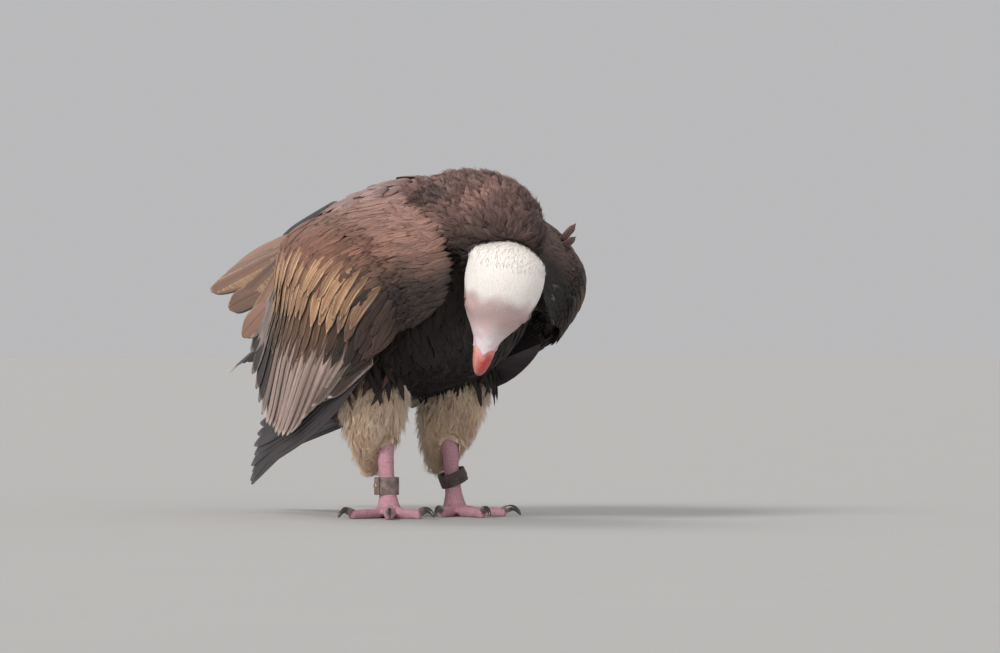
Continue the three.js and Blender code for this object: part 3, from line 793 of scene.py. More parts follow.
# %% [markdown]
# A glass eye is a ball whose front bulges a little over the iris. Each point knows how far it lies
# from the line of sight, and the finish turns that distance into pupil, iris and dark rim.
# %% Eyes
IRIS_RADIUS = 5.6
PUPIL_RADIUS = 2.9
CORNEA_BULGE = 0.8
IRIS_LIGHT = (0.16, 0.075, 0.025, 1)
IRIS_DARK = (0.055, 0.024, 0.010, 1)
PUPIL_BLACK = (0.004, 0.004, 0.005, 1)
DARK_RIM = (0.012, 0.008, 0.006, 1)
for name, side in SIDES.items():
    sight = unit(side * HEAD_LEFT + 0.12 * HEAD_FORWARD)
    shape = bmesh.new()
    bmesh.ops.create_uvsphere(shape, u_segments=56, v_segments=40, radius=EYE_RADIUS)
    turn = Vector((0, 0, 1)).rotation_difference(Vector(sight))
    bmesh.ops.rotate(shape, verts=shape.verts, cent=(0, 0, 0), matrix=turn.to_matrix())
    ball = np.array([vertex.co for vertex in shape.verts])
    off_sight = np.linalg.norm(ball - np.outer(ball @ sight, sight), axis=1)
    off_sight = np.where(ball @ sight > 0, off_sight, 2 * EYE_RADIUS)
    ball += unit(ball) * (CORNEA_BULGE * (1 - ease(off_sight, 2, IRIS_RADIUS + 0.8)))[:, None]
    mesh = mesh_from(shape, f"eye_{name}_glass")
    set_points(mesh, ball + eye_centres[name] - SHIFT)
    mesh.shade_smooth()
    attribute(mesh, "off_sight", "FLOAT", off_sight)
    new_piece(f"eye_{name}_glass", mesh, "eyes", f"eye_{name}")

glass = Finish("eye_glass", Roughness=0.08, Coat_Weight=1.0, Coat_Roughness=0.02, IOR=1.45)
off_sight = glass.attribute("off_sight", out="Fac")
streaks = glass.noise(glass.place(), 900.0, detail=3.0)
iris = glass.mix(glass.ramp(streaks, 0.35, 0.65), IRIS_LIGHT, IRIS_DARK)
pupil_edge = glass.ramp(off_sight, PUPIL_RADIUS - 0.25, PUPIL_RADIUS + 0.25)
colour = glass.mix(pupil_edge, PUPIL_BLACK, iris)
colour = glass.mix(glass.ramp(off_sight, IRIS_RADIUS - 0.8, IRIS_RADIUS + 0.3), colour, DARK_RIM)
eye_finish = glass.done(colour)
for name in SIDES:
    bpy.data.objects[f"eye_{name}_glass"].data.materials.append(eye_finish)
print("eyes:", 2 * IRIS_RADIUS, "mm iris")

# %% [markdown]
# Claws are dark horn, paler and worn at the root, polished at the point. Subdivision rounds their
# solids.
# %% Claws
CLAW_ROOT = (0.20, 0.165, 0.15)
CLAW_POINT = (0.035, 0.028, 0.026)
claw_nodes = [f"claw_{side}_{toe}" for side in SIDES for toe in TOE_NAMES]
claw_mesh = fused(claw_nodes, levels=3, swell=0.35)
claw_points = points_of(claw_mesh)
claw_points[:, 2] = np.maximum(claw_points[:, 2], 0)
along_claw = np.zeros(len(claw_points))
for leg in LEGS.values():
    offset = claw_points[:, :2] - leg["foot"]
    near = np.linalg.norm(offset, axis=1) < 115
    for toe, (_, length) in TOES.items():
        ahead = toe_direction(leg, toe)
        on_toe = near & (offset @ ahead > 0.97 * np.linalg.norm(offset, axis=1))
        along_claw = np.where(on_toe, (offset @ ahead - length) / 25, along_claw)
set_points(claw_mesh, claw_points)
claw_mesh.shade_smooth()
towards_point = ease(along_claw + 0.1 * ripple(claw_points, 5, 61), -0.1, 0.5)
colour = blend_colours(towards_point, CLAW_ROOT, CLAW_POINT)
attribute(claw_mesh, "tint", "FLOAT_COLOR", opaque(colour))
new_piece("claws", claw_mesh, "claws", *claw_nodes)
claw_finish = Finish("claw_horn", Roughness=0.28, Coat_Weight=0.25, Coat_Roughness=0.2)
place = claw_finish.place()
layers = claw_finish.noise(place, 600.0, detail=4.0)
colour = claw_finish.shade(claw_finish.attribute("tint"), claw_finish.ramp(layers, 0.3, 0.7, 0.75, 1.35))
claw_mesh.materials.append(claw_finish.done(colour, layers, depth_mm=0.1, strength=0.4))
print("claws:", len(claw_nodes), "of them,", len(claw_mesh.vertices), "points")

# %% [markdown]
# ## Anklets
# A trained bird wears a leather anklet on each leg, closed by an overlap and a metal eyelet. Each
# starts as a flat grid that is wrapped a little more than once round the shank, then gets its
# thickness and its rounded edges.
# %% Anklets
BANDS = {
    # middle height, width of the strap, inner radius, tilt in degrees, where its end lies
    "right": {"middle": 34.5, "width": 19, "radius": 10.8, "tilt": 0, "end": 150},
    "left": {"middle": 41.5, "width": 14.5, "radius": 12.6, "tilt": -22, "end": -35},
}
STRAP_TURN = math.radians(415)
STRAP_THICKNESS = 1.7


def shank_centre(leg, height):
    share = height / 92
    return np.array([*(np.array(leg["foot"]) + (np.array(leg["ankle"]) - leg["foot"]) * share), height])


def strap_point(band, turn, height):
    """A point of the strap before it is tilted: the last part of its turn lies over the first."""
    lap = ease(turn, math.radians(345), math.radians(385))
    lifted = 0.5 * ease(turn, math.radians(405), STRAP_TURN)
    radius = band["radius"] + (STRAP_THICKNESS + 0.3) * lap + lifted
    radius += 0.35 * math.sin(2 * turn + 1) - 0.9 * (abs(height) / band["width"]) ** 2
    angle = turn + math.radians(band["end"])
    return radius * math.cos(angle), radius * math.sin(angle), height


for name, band in BANDS.items():
    shape = bmesh.new()
    bmesh.ops.create_grid(shape, x_segments=110, y_segments=5, size=0.5)
    for vertex in shape.verts:
        turn = (vertex.co.x + 0.5) * STRAP_TURN
        vertex.co = strap_point(band, turn, vertex.co.y * band["width"])
    tilt = math.radians(band["tilt"])
    for vertex in shape.verts:
        x, y, z = vertex.co
        vertex.co = (x * math.cos(tilt) + z * math.sin(tilt), y, z * math.cos(tilt) - x * math.sin(tilt))
    bmesh.ops.recalc_face_normals(shape, faces=shape.faces)
    mesh = mesh_from(shape, f"anklet_{name}")
    set_points(mesh, values_of(mesh.vertices, "co", 3) + shank_centre(LEGS[name], band["middle"]))
    piece = new_piece(f"anklet_{name}_strap", mesh, "anklets", f"anklet_{name}")
    wall = piece.modifiers.new("wall", "SOLIDIFY")
    wall.thickness = STRAP_THICKNESS * MM
    wall.offset = 1
    edge = piece.modifiers.new("edge", "BEVEL")
    edge.width = 0.45 * MM
    edge.segments = 3
    mesh.shade_smooth()

# painted shade: both straps are the same leather, and the left one is painted far darker, as that leg
# stands in shade
for name, dark, light in (
    ("right", (0.115, 0.080, 0.078, 1), (0.235, 0.175, 0.165, 1)),
    ("left", (0.040, 0.026, 0.026, 1), (0.085, 0.060, 0.060, 1)),
):
    tan = Finish(f"leather_{name}", Roughness=0.72, Sheen_Weight=0.1)
    place = tan.place()
    grain = tan.node("ShaderNodeTexVoronoi", {"Vector": place, "Scale": 1500.0}, feature="F1")
    worn = tan.noise(place, 130.0, detail=6.0, roughness=0.7)
    colour = tan.mix(tan.ramp(worn, 0.35, 0.68), dark, light)
    colour = tan.shade(colour, tan.ramp(grain, 0.0, 0.6, 0.8, 1.1))
    leather = tan.done(colour, tan.math("ADD", grain, worn), depth_mm=0.35, strength=0.7)
    bpy.data.objects[f"anklet_{name}_strap"].data.materials.append(leather)
print("anklets:", list(BANDS))

# %% [markdown]
# The eyelet is a turned brass ring pressed through the overlap. It is a small circle spun round its
# own axis.
# %% Eyelets
EYELET_RADIUS = 2.6
EYELET_WIRE = 0.75
brass = Finish("eyelet_brass", Metallic=1.0, Roughness=0.3)
tarnish = brass.noise(brass.place(), 700.0, detail=5.0)
colour = brass.mix(brass.ramp(tarnish, 0.35, 0.7), (0.62, 0.50, 0.28, 1), (0.30, 0.24, 0.15, 1))
brass_finish = brass.done(colour, tarnish, depth_mm=0.05, strength=0.3)
for name, band in BANDS.items():
    shape = bmesh.new()
    bmesh.ops.create_circle(shape, segments=12, radius=EYELET_WIRE)
    bmesh.ops.rotate(shape, verts=shape.verts, cent=(0, 0, 0), matrix=Matrix.Rotation(math.pi / 2, 3, "X"))
    bmesh.ops.translate(shape, verts=shape.verts, vec=(EYELET_RADIUS, 0, 0))
    bmesh.ops.spin(
        shape, geom=shape.verts[:] + shape.edges[:], axis=(0, 0, 1), cent=(0, 0, 0), angle=2 * math.pi,
        steps=28, use_merge=True,
    )
    bmesh.ops.recalc_face_normals(shape, faces=shape.faces)
    angle = STRAP_TURN + math.radians(band["end"] - 25)
    outward = np.array([math.cos(angle), math.sin(angle), 0])
    tilt = math.radians(band["tilt"])
    outward = np.array([outward[0] * math.cos(tilt), outward[1], -outward[0] * math.sin(tilt)])
    turn = Vector((0, 0, 1)).rotation_difference(Vector(outward)).to_matrix()
    bmesh.ops.rotate(shape, verts=shape.verts, cent=(0, 0, 0), matrix=turn)
    ring = np.array([vertex.co for vertex in shape.verts])
    mesh = mesh_from(shape, f"eyelet_{name}")
    reach = band["radius"] + 2 * STRAP_THICKNESS + 0.4
    set_points(mesh, ring + shank_centre(LEGS[name], band["middle"]) + outward * reach)
    mesh.shade_smooth()
    mesh.materials.append(brass_finish)
    new_piece(f"eyelet_{name}", mesh, "anklets")
print("eyelets:", 2 * EYELET_RADIUS, "mm across")

# %% [markdown]
# ## One feather
# A feather is a thin, slightly arched blade, whose barbs part at the edges; its shaft is left to
# the finish. Each kind is modelled once: a grid is pulled to the outline, frayed along its rim, and
# closed underneath by one flat face. It measures 1 from root to tip and 1 from shaft to edge, and
# many copies of it are later stretched and laid on the bird.
# %% Model the kinds of feather


class Pattern:
    """One small shape: its points, its triangles, which are shaded smooth, and each point's place on it."""

    def __init__(self, shape, places):
        bmesh.ops.triangulate(shape, faces=shape.faces[:], ngon_method="BEAUTY")
        bmesh.ops.recalc_face_normals(shape, faces=shape.faces[:])
        shape.verts.ensure_lookup_table()
        self.points = np.array([vertex.co for vertex in shape.verts])
        self.triangles = np.array([[vertex.index for vertex in face.verts] for face in shape.faces])
        self.smooth = np.array([face.smooth for face in shape.faces])
        self.places = np.array(places)
        shape.free()


def vane(columns, rows, tip=6.0, tip_width=0.35, rounding=0.08, fray=0.0, camber=1.0, root=0.3, seed=0):
    rng = np.random.default_rng(seed)
    shape = bmesh.new()
    bmesh.ops.create_grid(shape, x_segments=columns, y_segments=rows, size=1)
    shape.verts.ensure_lookup_table()
    rim_edges = [edge for edge in shape.edges if edge.is_boundary]
    places = []
    for vertex in shape.verts:
        across = vertex.co.x
        share = (vertex.co.y + 1) / 2
        along = 1 - (1 - share) ** 1.25
        width = max(min(along / root, 1), 0.02) ** 0.6 * (1 - (1 - tip_width) * along**tip)
        reach = along - rounding * across**2 * along**4
        if share > 0.99:
            reach += fray * rng.uniform(-1.0, 0.5)
        elif share > 0.8:
            reach += 0.3 * fray * rng.uniform(-1.0, 0.5)
        if abs(across) > 0.99:
            width *= 1 - 1.6 * fray * rng.uniform(0, 1)
        vertex.co = (across * width, reach, camber * (1 - across**2) * min(1, 4 * width * (1.05 - along)))
        places.append((0.5 + across / 2, along))
    for face in shape.faces:
        face.smooth = True
    for face in bmesh.ops.contextual_create(shape, geom=rim_edges)["faces"]:
        face.smooth = False
    return Pattern(shape, places)


def vanes(count, columns, rows, **shape):
    """A few feathers of one kind, each frayed in its own way."""
    return [vane(columns, rows, seed=seed, **shape) for seed in range(count)]


FLIGHT = vanes(3, 8, 22, tip=9, tip_width=0.40, rounding=0.045, fray=0.006, root=0.12)
PRIMARY = vanes(3, 8, 24, tip=4, tip_width=0.26, rounding=0.03, fray=0.005, root=0.45)
BROAD = vanes(3, 8, 20, tip=15, tip_width=0.5, rounding=0.045, fray=0.004, root=0.15)
COVERT = vanes(4, 6, 9, tip=7, tip_width=0.34, rounding=0.13, fray=0.05, root=0.25)
MEDIAN = vanes(5, 6, 9, tip=6, tip_width=0.24, rounding=0.10, fray=0.05, root=0.25)
LOOSE = vanes(6, 4, 6, tip=2.5, tip_width=0.12, rounding=0.1, fray=0.16, root=0.3)
SMALL = vanes(7, 4, 6, tip=3, tip_width=0.25, rounding=0.14, fray=0.2, root=0.3, camber=0.7)
for kind, patterns in (("flight", FLIGHT), ("covert", COVERT), ("small", SMALL)):
    print(kind, "feather:", len(patterns[0].triangles), "triangles")

# %% [markdown]
# Down has no blade: soft strands spring from one root and part like a brush. Each strand is a
# three-sided cone, cut across so that it can bend.
# %% Model a tuft of down


def tuft(strands, spread, bend, thickness, seed=0):
    rng = np.random.default_rng(seed)
    shape = bmesh.new()
    places = []
    for strand in range(strands):
        before = set(shape.verts)
        bmesh.ops.create_cone(
            shape, cap_ends=True, segments=3, radius1=thickness, radius2=thickness * 0.15, depth=1
        )
        new = [vertex for vertex in shape.verts if vertex not in before]
        geometry = new + list({edge for vertex in new for edge in vertex.link_edges})
        geometry += list({face for vertex in new for face in vertex.link_faces})
        bmesh.ops.bisect_plane(shape, geom=geometry, plane_co=(0, 0, 0.08), plane_no=(0, 0, 1))
        new = [vertex for vertex in shape.verts if vertex not in before]
        heading = 2 * math.pi * strand / strands + rng.uniform(-0.5, 0.5)
        lean = rng.uniform(0.4, 1.0) * spread
        length = rng.uniform(0.7, 1.0)
        for vertex in new:
            along = vertex.co.z + 0.5
            x = vertex.co.x + lean * math.cos(heading) * along**1.4
            z = vertex.co.y + abs(lean * math.sin(heading)) * along - bend * along**2
            vertex.co = (x, along * length, z)
            places.append(((strand + 0.5) / strands, along))
    for face in shape.faces:
        face.smooth = True
    return Pattern(shape, places)


def tufts(strands, spread, thickness):
    return [tuft(strands, spread, bend=0.10, thickness=thickness, seed=seed) for seed in range(6)]


DOWN = tufts(5, spread=0.30, thickness=0.035)
FLUFF = tufts(6, spread=0.34, thickness=0.045)
PLUSH = tufts(4, spread=0.55, thickness=0.075)
print("down tuft:", len(DOWN[0].triangles), "triangles, plush:", len(PLUSH[0].triangles))

# %% [markdown]
# Copies are joined into one mesh for each part of the coat. Each copy keeps two colours, for its
# web and its fringe, a number that is its own, and a tiny patch on the skin's map at the place
# where it is rooted.
# %% Join copies
PATCH = 0.003
PIECE_LIMIT = 200_000
skin_tree = BVHTree.FromPolygons(
    [vertex.co for vertex in skin_mesh.vertices], [face.vertices for face in skin_mesh.polygons]
)
map_corners = values_of(skin_mesh.uv_layers["OFBake"].uv, "vector", 2)
first_corner = values_of(skin_mesh.polygons, "loop_start", 1, int)[:, 0]


def map_places(roots):
    """Where each root lies on the skin's map."""
    found = [skin_tree.find_nearest(Vector(place))[2] for place in to_frame(roots)]
    return map_corners[first_corner[found]]


def joined(name, patterns, points, roots, web, fringe, slot, material, *nodes):
    """One object of many copies. `points` holds, for each copy, its pattern's points on the bird."""
    choice = np.arange(len(roots)) % len(patterns)
    corners, places, faces, flats, owners = [], [], [], [], []
    start = 0
    for number, pattern in enumerate(patterns):
        mine = np.flatnonzero(choice == number)
        if not len(mine):
            continue
        size = len(pattern.points)
        corners.append(np.concatenate([points[i] for i in mine]))
        first = start + size * np.arange(len(mine))
        faces.append((pattern.triangles[None] + first[:, None, None]).reshape(-1, 3))
        flats.append(np.tile(pattern.smooth, len(mine)))
        places.append(np.tile(pattern.places, (len(mine), 1)))
        owners.append(np.repeat(mine, size))
        start += size * len(mine)
    corners, faces, places, owners = map(np.concatenate, (corners, faces, places, owners))
    mesh = bpy.data.meshes.new(name)
    mesh.vertices.add(len(corners))
    mesh.vertices.foreach_set("co", to_frame(corners).ravel())
    mesh.loops.add(faces.size)
    mesh.loops.foreach_set("vertex_index", faces.ravel())
    mesh.polygons.add(len(faces))
    mesh.polygons.foreach_set("loop_start", np.arange(0, faces.size, 3))
    mesh.polygons.foreach_set("use_smooth", np.concatenate(flats))
    mesh.update(calc_edges=True)
    attribute(mesh, "web", "FLOAT_COLOR", opaque(web)[owners])
    attribute(mesh, "fringe", "FLOAT_COLOR", opaque(fringe)[owners])
    attribute(mesh, "own", "FLOAT", np.random.default_rng(len(roots)).random(len(roots))[owners])
    attribute(mesh, "across", "FLOAT", places[:, 0])
    attribute(mesh, "along", "FLOAT", places[:, 1])
    mesh.uv_layers.new(name="OFBake")
    patch = map_places(roots)[owners] + (places - 0.5) * PATCH
    mesh.uv_layers["OFBake"].uv.foreach_set("vector", patch[faces.ravel()].ravel())
    mesh.materials.append(material)
    assert len(faces) < PIECE_LIMIT, f"{name} has {len(faces)} triangles"
    print(f"{name}: {len(roots)} feathers, {len(faces)} triangles")
    return new_piece(name, mesh, slot, *nodes)


# %% [markdown]
# ## The finish of a feather
# Light shows the barbs of a feather as fine slanting lines, the shaft as a dark line down the
# middle, and the rim as a paler, worn fringe. Towards its root the colour is painted darker, as
# painted shade under the feathers that lie over it. All of it is drawn from two numbers that each
# point carries: how far across and how far along its own feather it lies.
# %% Finish of feathers


def let_light_in(recipe, weight):
    """Light goes a few mm into the finish, and red light goes furthest."""
    for socket, value in (("Weight", weight), ("Radius", (1.0, 0.9, 0.8)), ("Scale", 0.004)):
        recipe.shader.inputs[f"Subsurface {socket}"].default_value = value


# `root` is the painted shade at a feather's root: the colour there is multiplied by it
def feather_finish(
    name, barbs, fringe_start, shaft, streaks, root=0.6, lines_depth=0.18, roughness=0.66, glow=0.0
):
    recipe = Finish(name, Roughness=roughness, Sheen_Weight=0.04, Specular_IOR_Level=0.3)
    if glow:
        let_light_in(recipe, glow)
    along = recipe.attribute("along", out="Fac")
    own = recipe.attribute("own", out="Fac")
    side = recipe.math("SUBTRACT", recipe.math("MULTIPLY", recipe.attribute("across", out="Fac"), 2.0), 1.0)
    off_shaft = recipe.math("ABSOLUTE", side)
    slant = recipe.math("SUBTRACT", along, recipe.math("MULTIPLY", off_shaft, 0.16))
    drift = recipe.math("MULTIPLY", side, 0.03)
    lines_at = recipe.node("ShaderNodeCombineXYZ", {"X": slant, "Y": drift, "Z": own})
    lines = recipe.noise(lines_at, barbs, detail=2.0)
    streaks_at = recipe.node(
        "ShaderNodeCombineXYZ",
        {
            "X": recipe.math("MULTIPLY", side, 5.0),
            "Y": recipe.math("MULTIPLY", along, 1.5),
            "Z": recipe.math("MULTIPLY", own, 40.0),
        },
    )
    long_streaks = recipe.noise(streaks_at, 1.0, detail=3.0)
    rim = recipe.math("MAXIMUM", off_shaft, recipe.ramp(along, 0.78, 1.0))
    rim = recipe.math("ADD", rim, recipe.math("MULTIPLY", lines, 0.3))
    rim = recipe.ramp(rim, fringe_start + 0.15, 1.15)
    colour = recipe.mix(rim, recipe.attribute("web"), recipe.attribute("fringe"))
    barb_light = recipe.ramp(lines, 0.32, 0.68, 1.0 - lines_depth, 1.0 + 0.8 * lines_depth)
    colour = recipe.shade(colour, barb_light)
    colour = recipe.shade(colour, recipe.ramp(long_streaks, 0.35, 0.65, 1.0 - streaks, 1.0 + streaks))
    colour = recipe.shade(colour, recipe.ramp(off_shaft, 0.02, 0.09, shaft, 1.0))
    # painted shade: darker towards the root
    colour = recipe.shade(colour, recipe.ramp(along, 0.0, 0.45, root, 1.0))
    return recipe.done(colour, lines, depth_mm=0.35, strength=0.5)


flight_material = feather_finish(
    "flight_feathers", barbs=150.0, fringe_start=0.78, shaft=0.5, streaks=0.22, roughness=0.5
)
pale_material = feather_finish("pale_secondaries", barbs=150.0, fringe_start=0.72, shaft=0.36, streaks=0.26)
covert_material = feather_finish("wing_coverts", barbs=70.0, fringe_start=0.45, shaft=0.6, streaks=0.32)
tertial_material = feather_finish(
    "tertials", barbs=150.0, fringe_start=0.965, shaft=0.7, streaks=0.10, lines_depth=0.07, root=0.8
)
body_material = feather_finish(
    "body_feathers", barbs=45.0, fringe_start=0.5, shaft=0.92, streaks=0.25, roughness=0.8
)

# %% [markdown]
# Down is matt. Its tips are painted paler, as painted light that gets into them, and its roots
# darker, as painted shade; the plush of the crown is too short to have any painted shade at its roots.
# %% Finish of down


# `root` is the painted shade at a tuft's root: the colour there is multiplied by it
def down_finish(name, root, patchy, glow=0.0):
    recipe = Finish(name, Roughness=0.85, Sheen_Weight=0.05, Specular_IOR_Level=0.3)
    let_light_in(recipe, glow)
    along = recipe.attribute("along", out="Fac")
    # painted light: paler towards the tip
    colour = recipe.mix(along, recipe.attribute("web"), recipe.attribute("fringe"))
    wisps = recipe.noise(recipe.place(), 260.0, detail=4.0)
    colour = recipe.shade(colour, recipe.ramp(wisps, 0.3, 0.7, 1.0 - patchy, 1.0 + 0.7 * patchy))
    # painted shade: darker towards the root
    colour = recipe.shade(colour, recipe.ramp(along, 0.0, 0.5, root, 1.0))
    return recipe.done(colour)


down_material = down_finish("down", root=0.8, patchy=0.14)
cream_down_material = down_finish("cream_down", root=1.0, patchy=0.05, glow=0.6)
plush_material = down_finish("crown_plush", root=1.0, patchy=0.03, glow=0.4)
print("finishes:", [flight_material.name, covert_material.name, body_material.name, down_material.name])

# %% [markdown]
# ## The wings' build
# The solids of a wing were laid on ribs, each from the wing's leading edge over the bulge of the
# forearm and the tips of the greater coverts to the tip of a flight feather. The same ribs give the
# feathers their places: `a` counts across the feathers and `b` runs along them. The curve is the
# centripetal Catmull-Rom one that the solids use.
# %% Ribs
RIGHT_WING = [
    [[-62, -162, 228], [-97, -112, 194], [-113, -52, 160], [-106, 90, 98]],
    [[-55, -169, 258], [-118, -112, 228], [-128, -36, 170], [-99, 128, 88]],
    [[-58, -162, 290], [-135, -92, 256], [-138, -10, 176], [-91, 166, 79]],
    [[-64, -140, 320], [-148, -62, 278], [-143, 20, 188], [-86, 200, 92]],
    [[-67, -98, 338], [-152, -24, 297], [-142, 56, 204], [-86, 222, 100]],
    [[-66, -50, 350], [-146, 22, 304], [-136, 90, 222], [-92, 238, 138]],
    [[-62, 10, 343], [-130, 62, 302], [-121, 116, 242], [-99, 246, 200]],
    [[-56, 68, 331], [-110, 102, 300], [-104, 158, 272], [-94, 350, 248]],
    [[-46, 118, 319], [-86, 140, 303], [-90, 184, 291], [-80, 330, 266]],
]
LEFT_WING = [
    [[-62, -162, 232], [-103, -112, 200], [-113, -52, 184], [-106, 90, 136]],
    [[-55, -169, 260], [-129, -108, 232], [-130, -36, 196], [-99, 128, 124]],
    [[-58, -160, 282], [-142, -96, 254], [-139, -10, 198], [-92, 166, 118]],
    [[-64, -136, 313], [-153, -70, 273], [-143, 20, 198], [-86, 200, 118]],
    [[-67, -98, 338], [-154, -26, 296], [-142, 56, 206], [-86, 222, 118]],
    *RIGHT_WING[5:],
]
RIGHT_HAND = [
    [[-88, -104, 182], [-103, -62, 152], [-106, -4, 119], [-94, 103, 86], [-62, 268, 53], [-30, 383, 20]],
    [[-88, -98, 190], [-103, -54, 166], [-106, 8, 132], [-94, 110, 100], [-66, 262, 66], [-38, 366, 36]],
    [[-88, -92, 198], [-102, -46, 180], [-106, 14, 146], [-93, 114, 112], [-72, 244, 82], [-52, 326, 66]],
    [[-88, -86, 206], [-100, -38, 192], [-104, 20, 158], [-91, 116, 124], [-77, 214, 104], [-66, 282, 100]],
]
LEFT_HAND = [
    [[-94, -104, 193], [-106, -62, 176], [-104, 0, 150], [-95, 128, 134], [-68, 276, 120], [-22, 428, 54]],
    [[-94, -98, 200], [-106, -56, 187], [-106, 8, 163], [-94, 128, 145], [-72, 264, 134], [-30, 408, 72]],
    [[-94, -92, 206], [-105, -48, 196], [-106, 12, 175], [-93, 126, 156], [-76, 244, 148], [-44, 366, 98]],
    [[-94, -86, 211], [-103, -40, 203], [-104, 18, 186], [-91, 124, 166], [-79, 222, 160], [-58, 322, 128]],
]
COVERT_SHARE = 2 / 3  # where the greater coverts end on a wing's rib
GRID = 97


def smooth_curve(points, shares):
    """Points at `shares` of the centripetal Catmull-Rom curve through `points`."""
    points = np.asarray(points, float)
    last = len(points) - 1
    place = np.clip(shares, 0, 1) * last
    span = np.minimum(place.astype(int), last - 1)
    t = (place - span)[:, None]
    padded = np.concatenate([[2 * points[0] - points[1]], points, [2 * points[-1] - points[-2]]])
    p0, p1, p2, p3 = (padded[span + i] for i in range(4))
    pairs = ((p0, p1), (p1, p2), (p2, p3))
    d0, d1, d2 = (np.sqrt(np.linalg.norm(q - p, axis=1, keepdims=True)) for p, q in pairs)
    start = ((p1 - p0) / d0 - (p2 - p0) / (d0 + d1) + (p2 - p1) / d1) * d1
    end = ((p2 - p1) / d1 - (p3 - p1) / (d1 + d2) + (p3 - p2) / d2) * d1
    square = -3 * p1 + 3 * p2 - 2 * start - end
    cube = 2 * p1 - 2 * p2 + start + end
    return p1 + start * t + square * t**2 + cube * t**3


class Surface:
    """A curved sheet of feathers. `outward` is 1 or -1, the side on which the feathers show."""

    def __init__(self, grid, outward):
        self.grid = grid
        self.outward = outward
        self.over_a = np.gradient(grid, 1 / (len(grid) - 1), axis=0)
        self.over_b = np.gradient(grid, 1 / (grid.shape[1] - 1), axis=1)

    @staticmethod
    def read(table, a, b):
        x = np.clip(a, 0, 1) * (table.shape[0] - 1)
        y = np.clip(b, 0, 1) * (table.shape[1] - 1)
        i = np.minimum(x.astype(int), table.shape[0] - 2)
        j = np.minimum(y.astype(int), table.shape[1] - 2)
        x = (x - i)[..., None]
        y = (y - j)[..., None]
        low = table[i, j] * (1 - x) + table[i + 1, j] * x
        high = table[i, j + 1] * (1 - x) + table[i + 1, j + 1] * x
        return low * (1 - y) + high * y

    def at(self, a, b):
        """The point, the directions across, along and outwards, and the mm for each unit of a."""
        across = self.read(self.over_a, a, b)
        along = self.read(self.over_b, a, b)
        place = self.read(self.grid, a, b) + across * (a - np.clip(a, 0, 1))[..., None]
        place = place + along * (b - np.clip(b, 0, 1))[..., None]
        rate = np.linalg.norm(across, axis=-1)
        out = unit(np.cross(across, along)) * self.outward
        return place, across / rate[..., None], unit(along), out, rate


def lofted(ribs, side, outward):
    ribs = np.array(ribs, float)
    ribs[..., 0] *= -side
    shares = np.linspace(0, 1, GRID)
    levels = np.stack([smooth_curve(ribs[:, level], shares) for level in range(ribs.shape[1])], axis=1)
    return Surface(np.stack([smooth_curve(level, shares) for level in levels]), outward)


wings = {"right": lofted(RIGHT_WING, RIGHT, 1), "left": lofted(LEFT_WING, LEFT, -1)}
untucked = wings["left"]
untucked_out = unit(np.cross(untucked.over_a, untucked.over_b)) * untucked.outward
wings["left"] = Surface(tucked(untucked.grid, untucked_out), -1)
hands = {"right": lofted(RIGHT_HAND, RIGHT, 1), "left": lofted(LEFT_HAND, LEFT, -1)}
print("wing surfaces:", [surface.grid.shape for surface in wings.values()])

# %% [markdown]
# A long feather follows the curve of the wing under it. Its points are laid straight on the
# surface, at a height that makes it overlap its neighbour like a tile: one edge tucks under and the
# other lies on top.
# %% Lay feathers on a surface
MOST_SHIFT = 0.1


def laid(
    surface, patterns, a0, a1, b0, b1, half, height=0.0, roll=0.0, rise=0.0, curl=0.0, thick=1.0,
    square=False
):
    """For each feather, its pattern's points on the surface. `a0` holds one number for each feather.

    A small feather bends round the surface on both sides of its shaft. A `square` one is stiff: its
    blade stays at right angles to its shaft, so its tip keeps its shape where the surface's own lines
    run askew.
    """
    values = (a1, b0, b1, half, height, roll, rise, curl, thick)
    values = [np.broadcast_to(np.asarray(value, float), np.shape(a0)) for value in values]
    points = []
    for i, row in enumerate(zip(a0, *values)):
        a_root, a_tip, b_root, b_tip, wide, base, turn, lift, hook, deep = row
        x, y, z = patterns[i % len(patterns)].points.T
        a = a_root + (a_tip - a_root) * y
        b = b_root + (b_tip - b_root) * y
        stand = base + turn * x + lift * y + hook * y**3 + deep * z
        if square:
            place, across, _, out, _ = surface.at(a, b)
            step = 0.02 * np.sign(b_tip - b_root)
            ahead = surface.at(a + 0.02 * (a_tip - a_root), b + step * abs(b_tip - b_root))[0] - place
            side = unit(across - (across * unit(ahead)).sum(axis=1, keepdims=True) * unit(ahead))
            points.append(place + side * (x * wide)[:, None] + out * stand[:, None])
            continue
        rate = surface.at(a, b)[4]
        shift = np.clip(x * wide / rate, -MOST_SHIFT, MOST_SHIFT)
        place, across, _, out, _ = surface.at(a + shift, b)
        rest = x * wide - shift * rate
        points.append(place + across * rest[:, None] + out * stand[:, None])
    return points


def spread_evenly(surface, b, pitch, stagger):
    """Values of a along the line b, `pitch` mm apart."""
    a = np.linspace(0, 1, 200)
    line = surface.at(a, np.full_like(a, b))[0]
    length = np.concatenate([[0], np.cumsum(np.linalg.norm(np.diff(line, axis=0), axis=1))])
    return np.interp(np.arange(stagger * pitch, length[-1], pitch), length, a)


def roots_of(surface, a, b):
    a = np.asarray(a, float)
    return surface.at(a, np.broadcast_to(np.asarray(b, float), a.shape))[0]


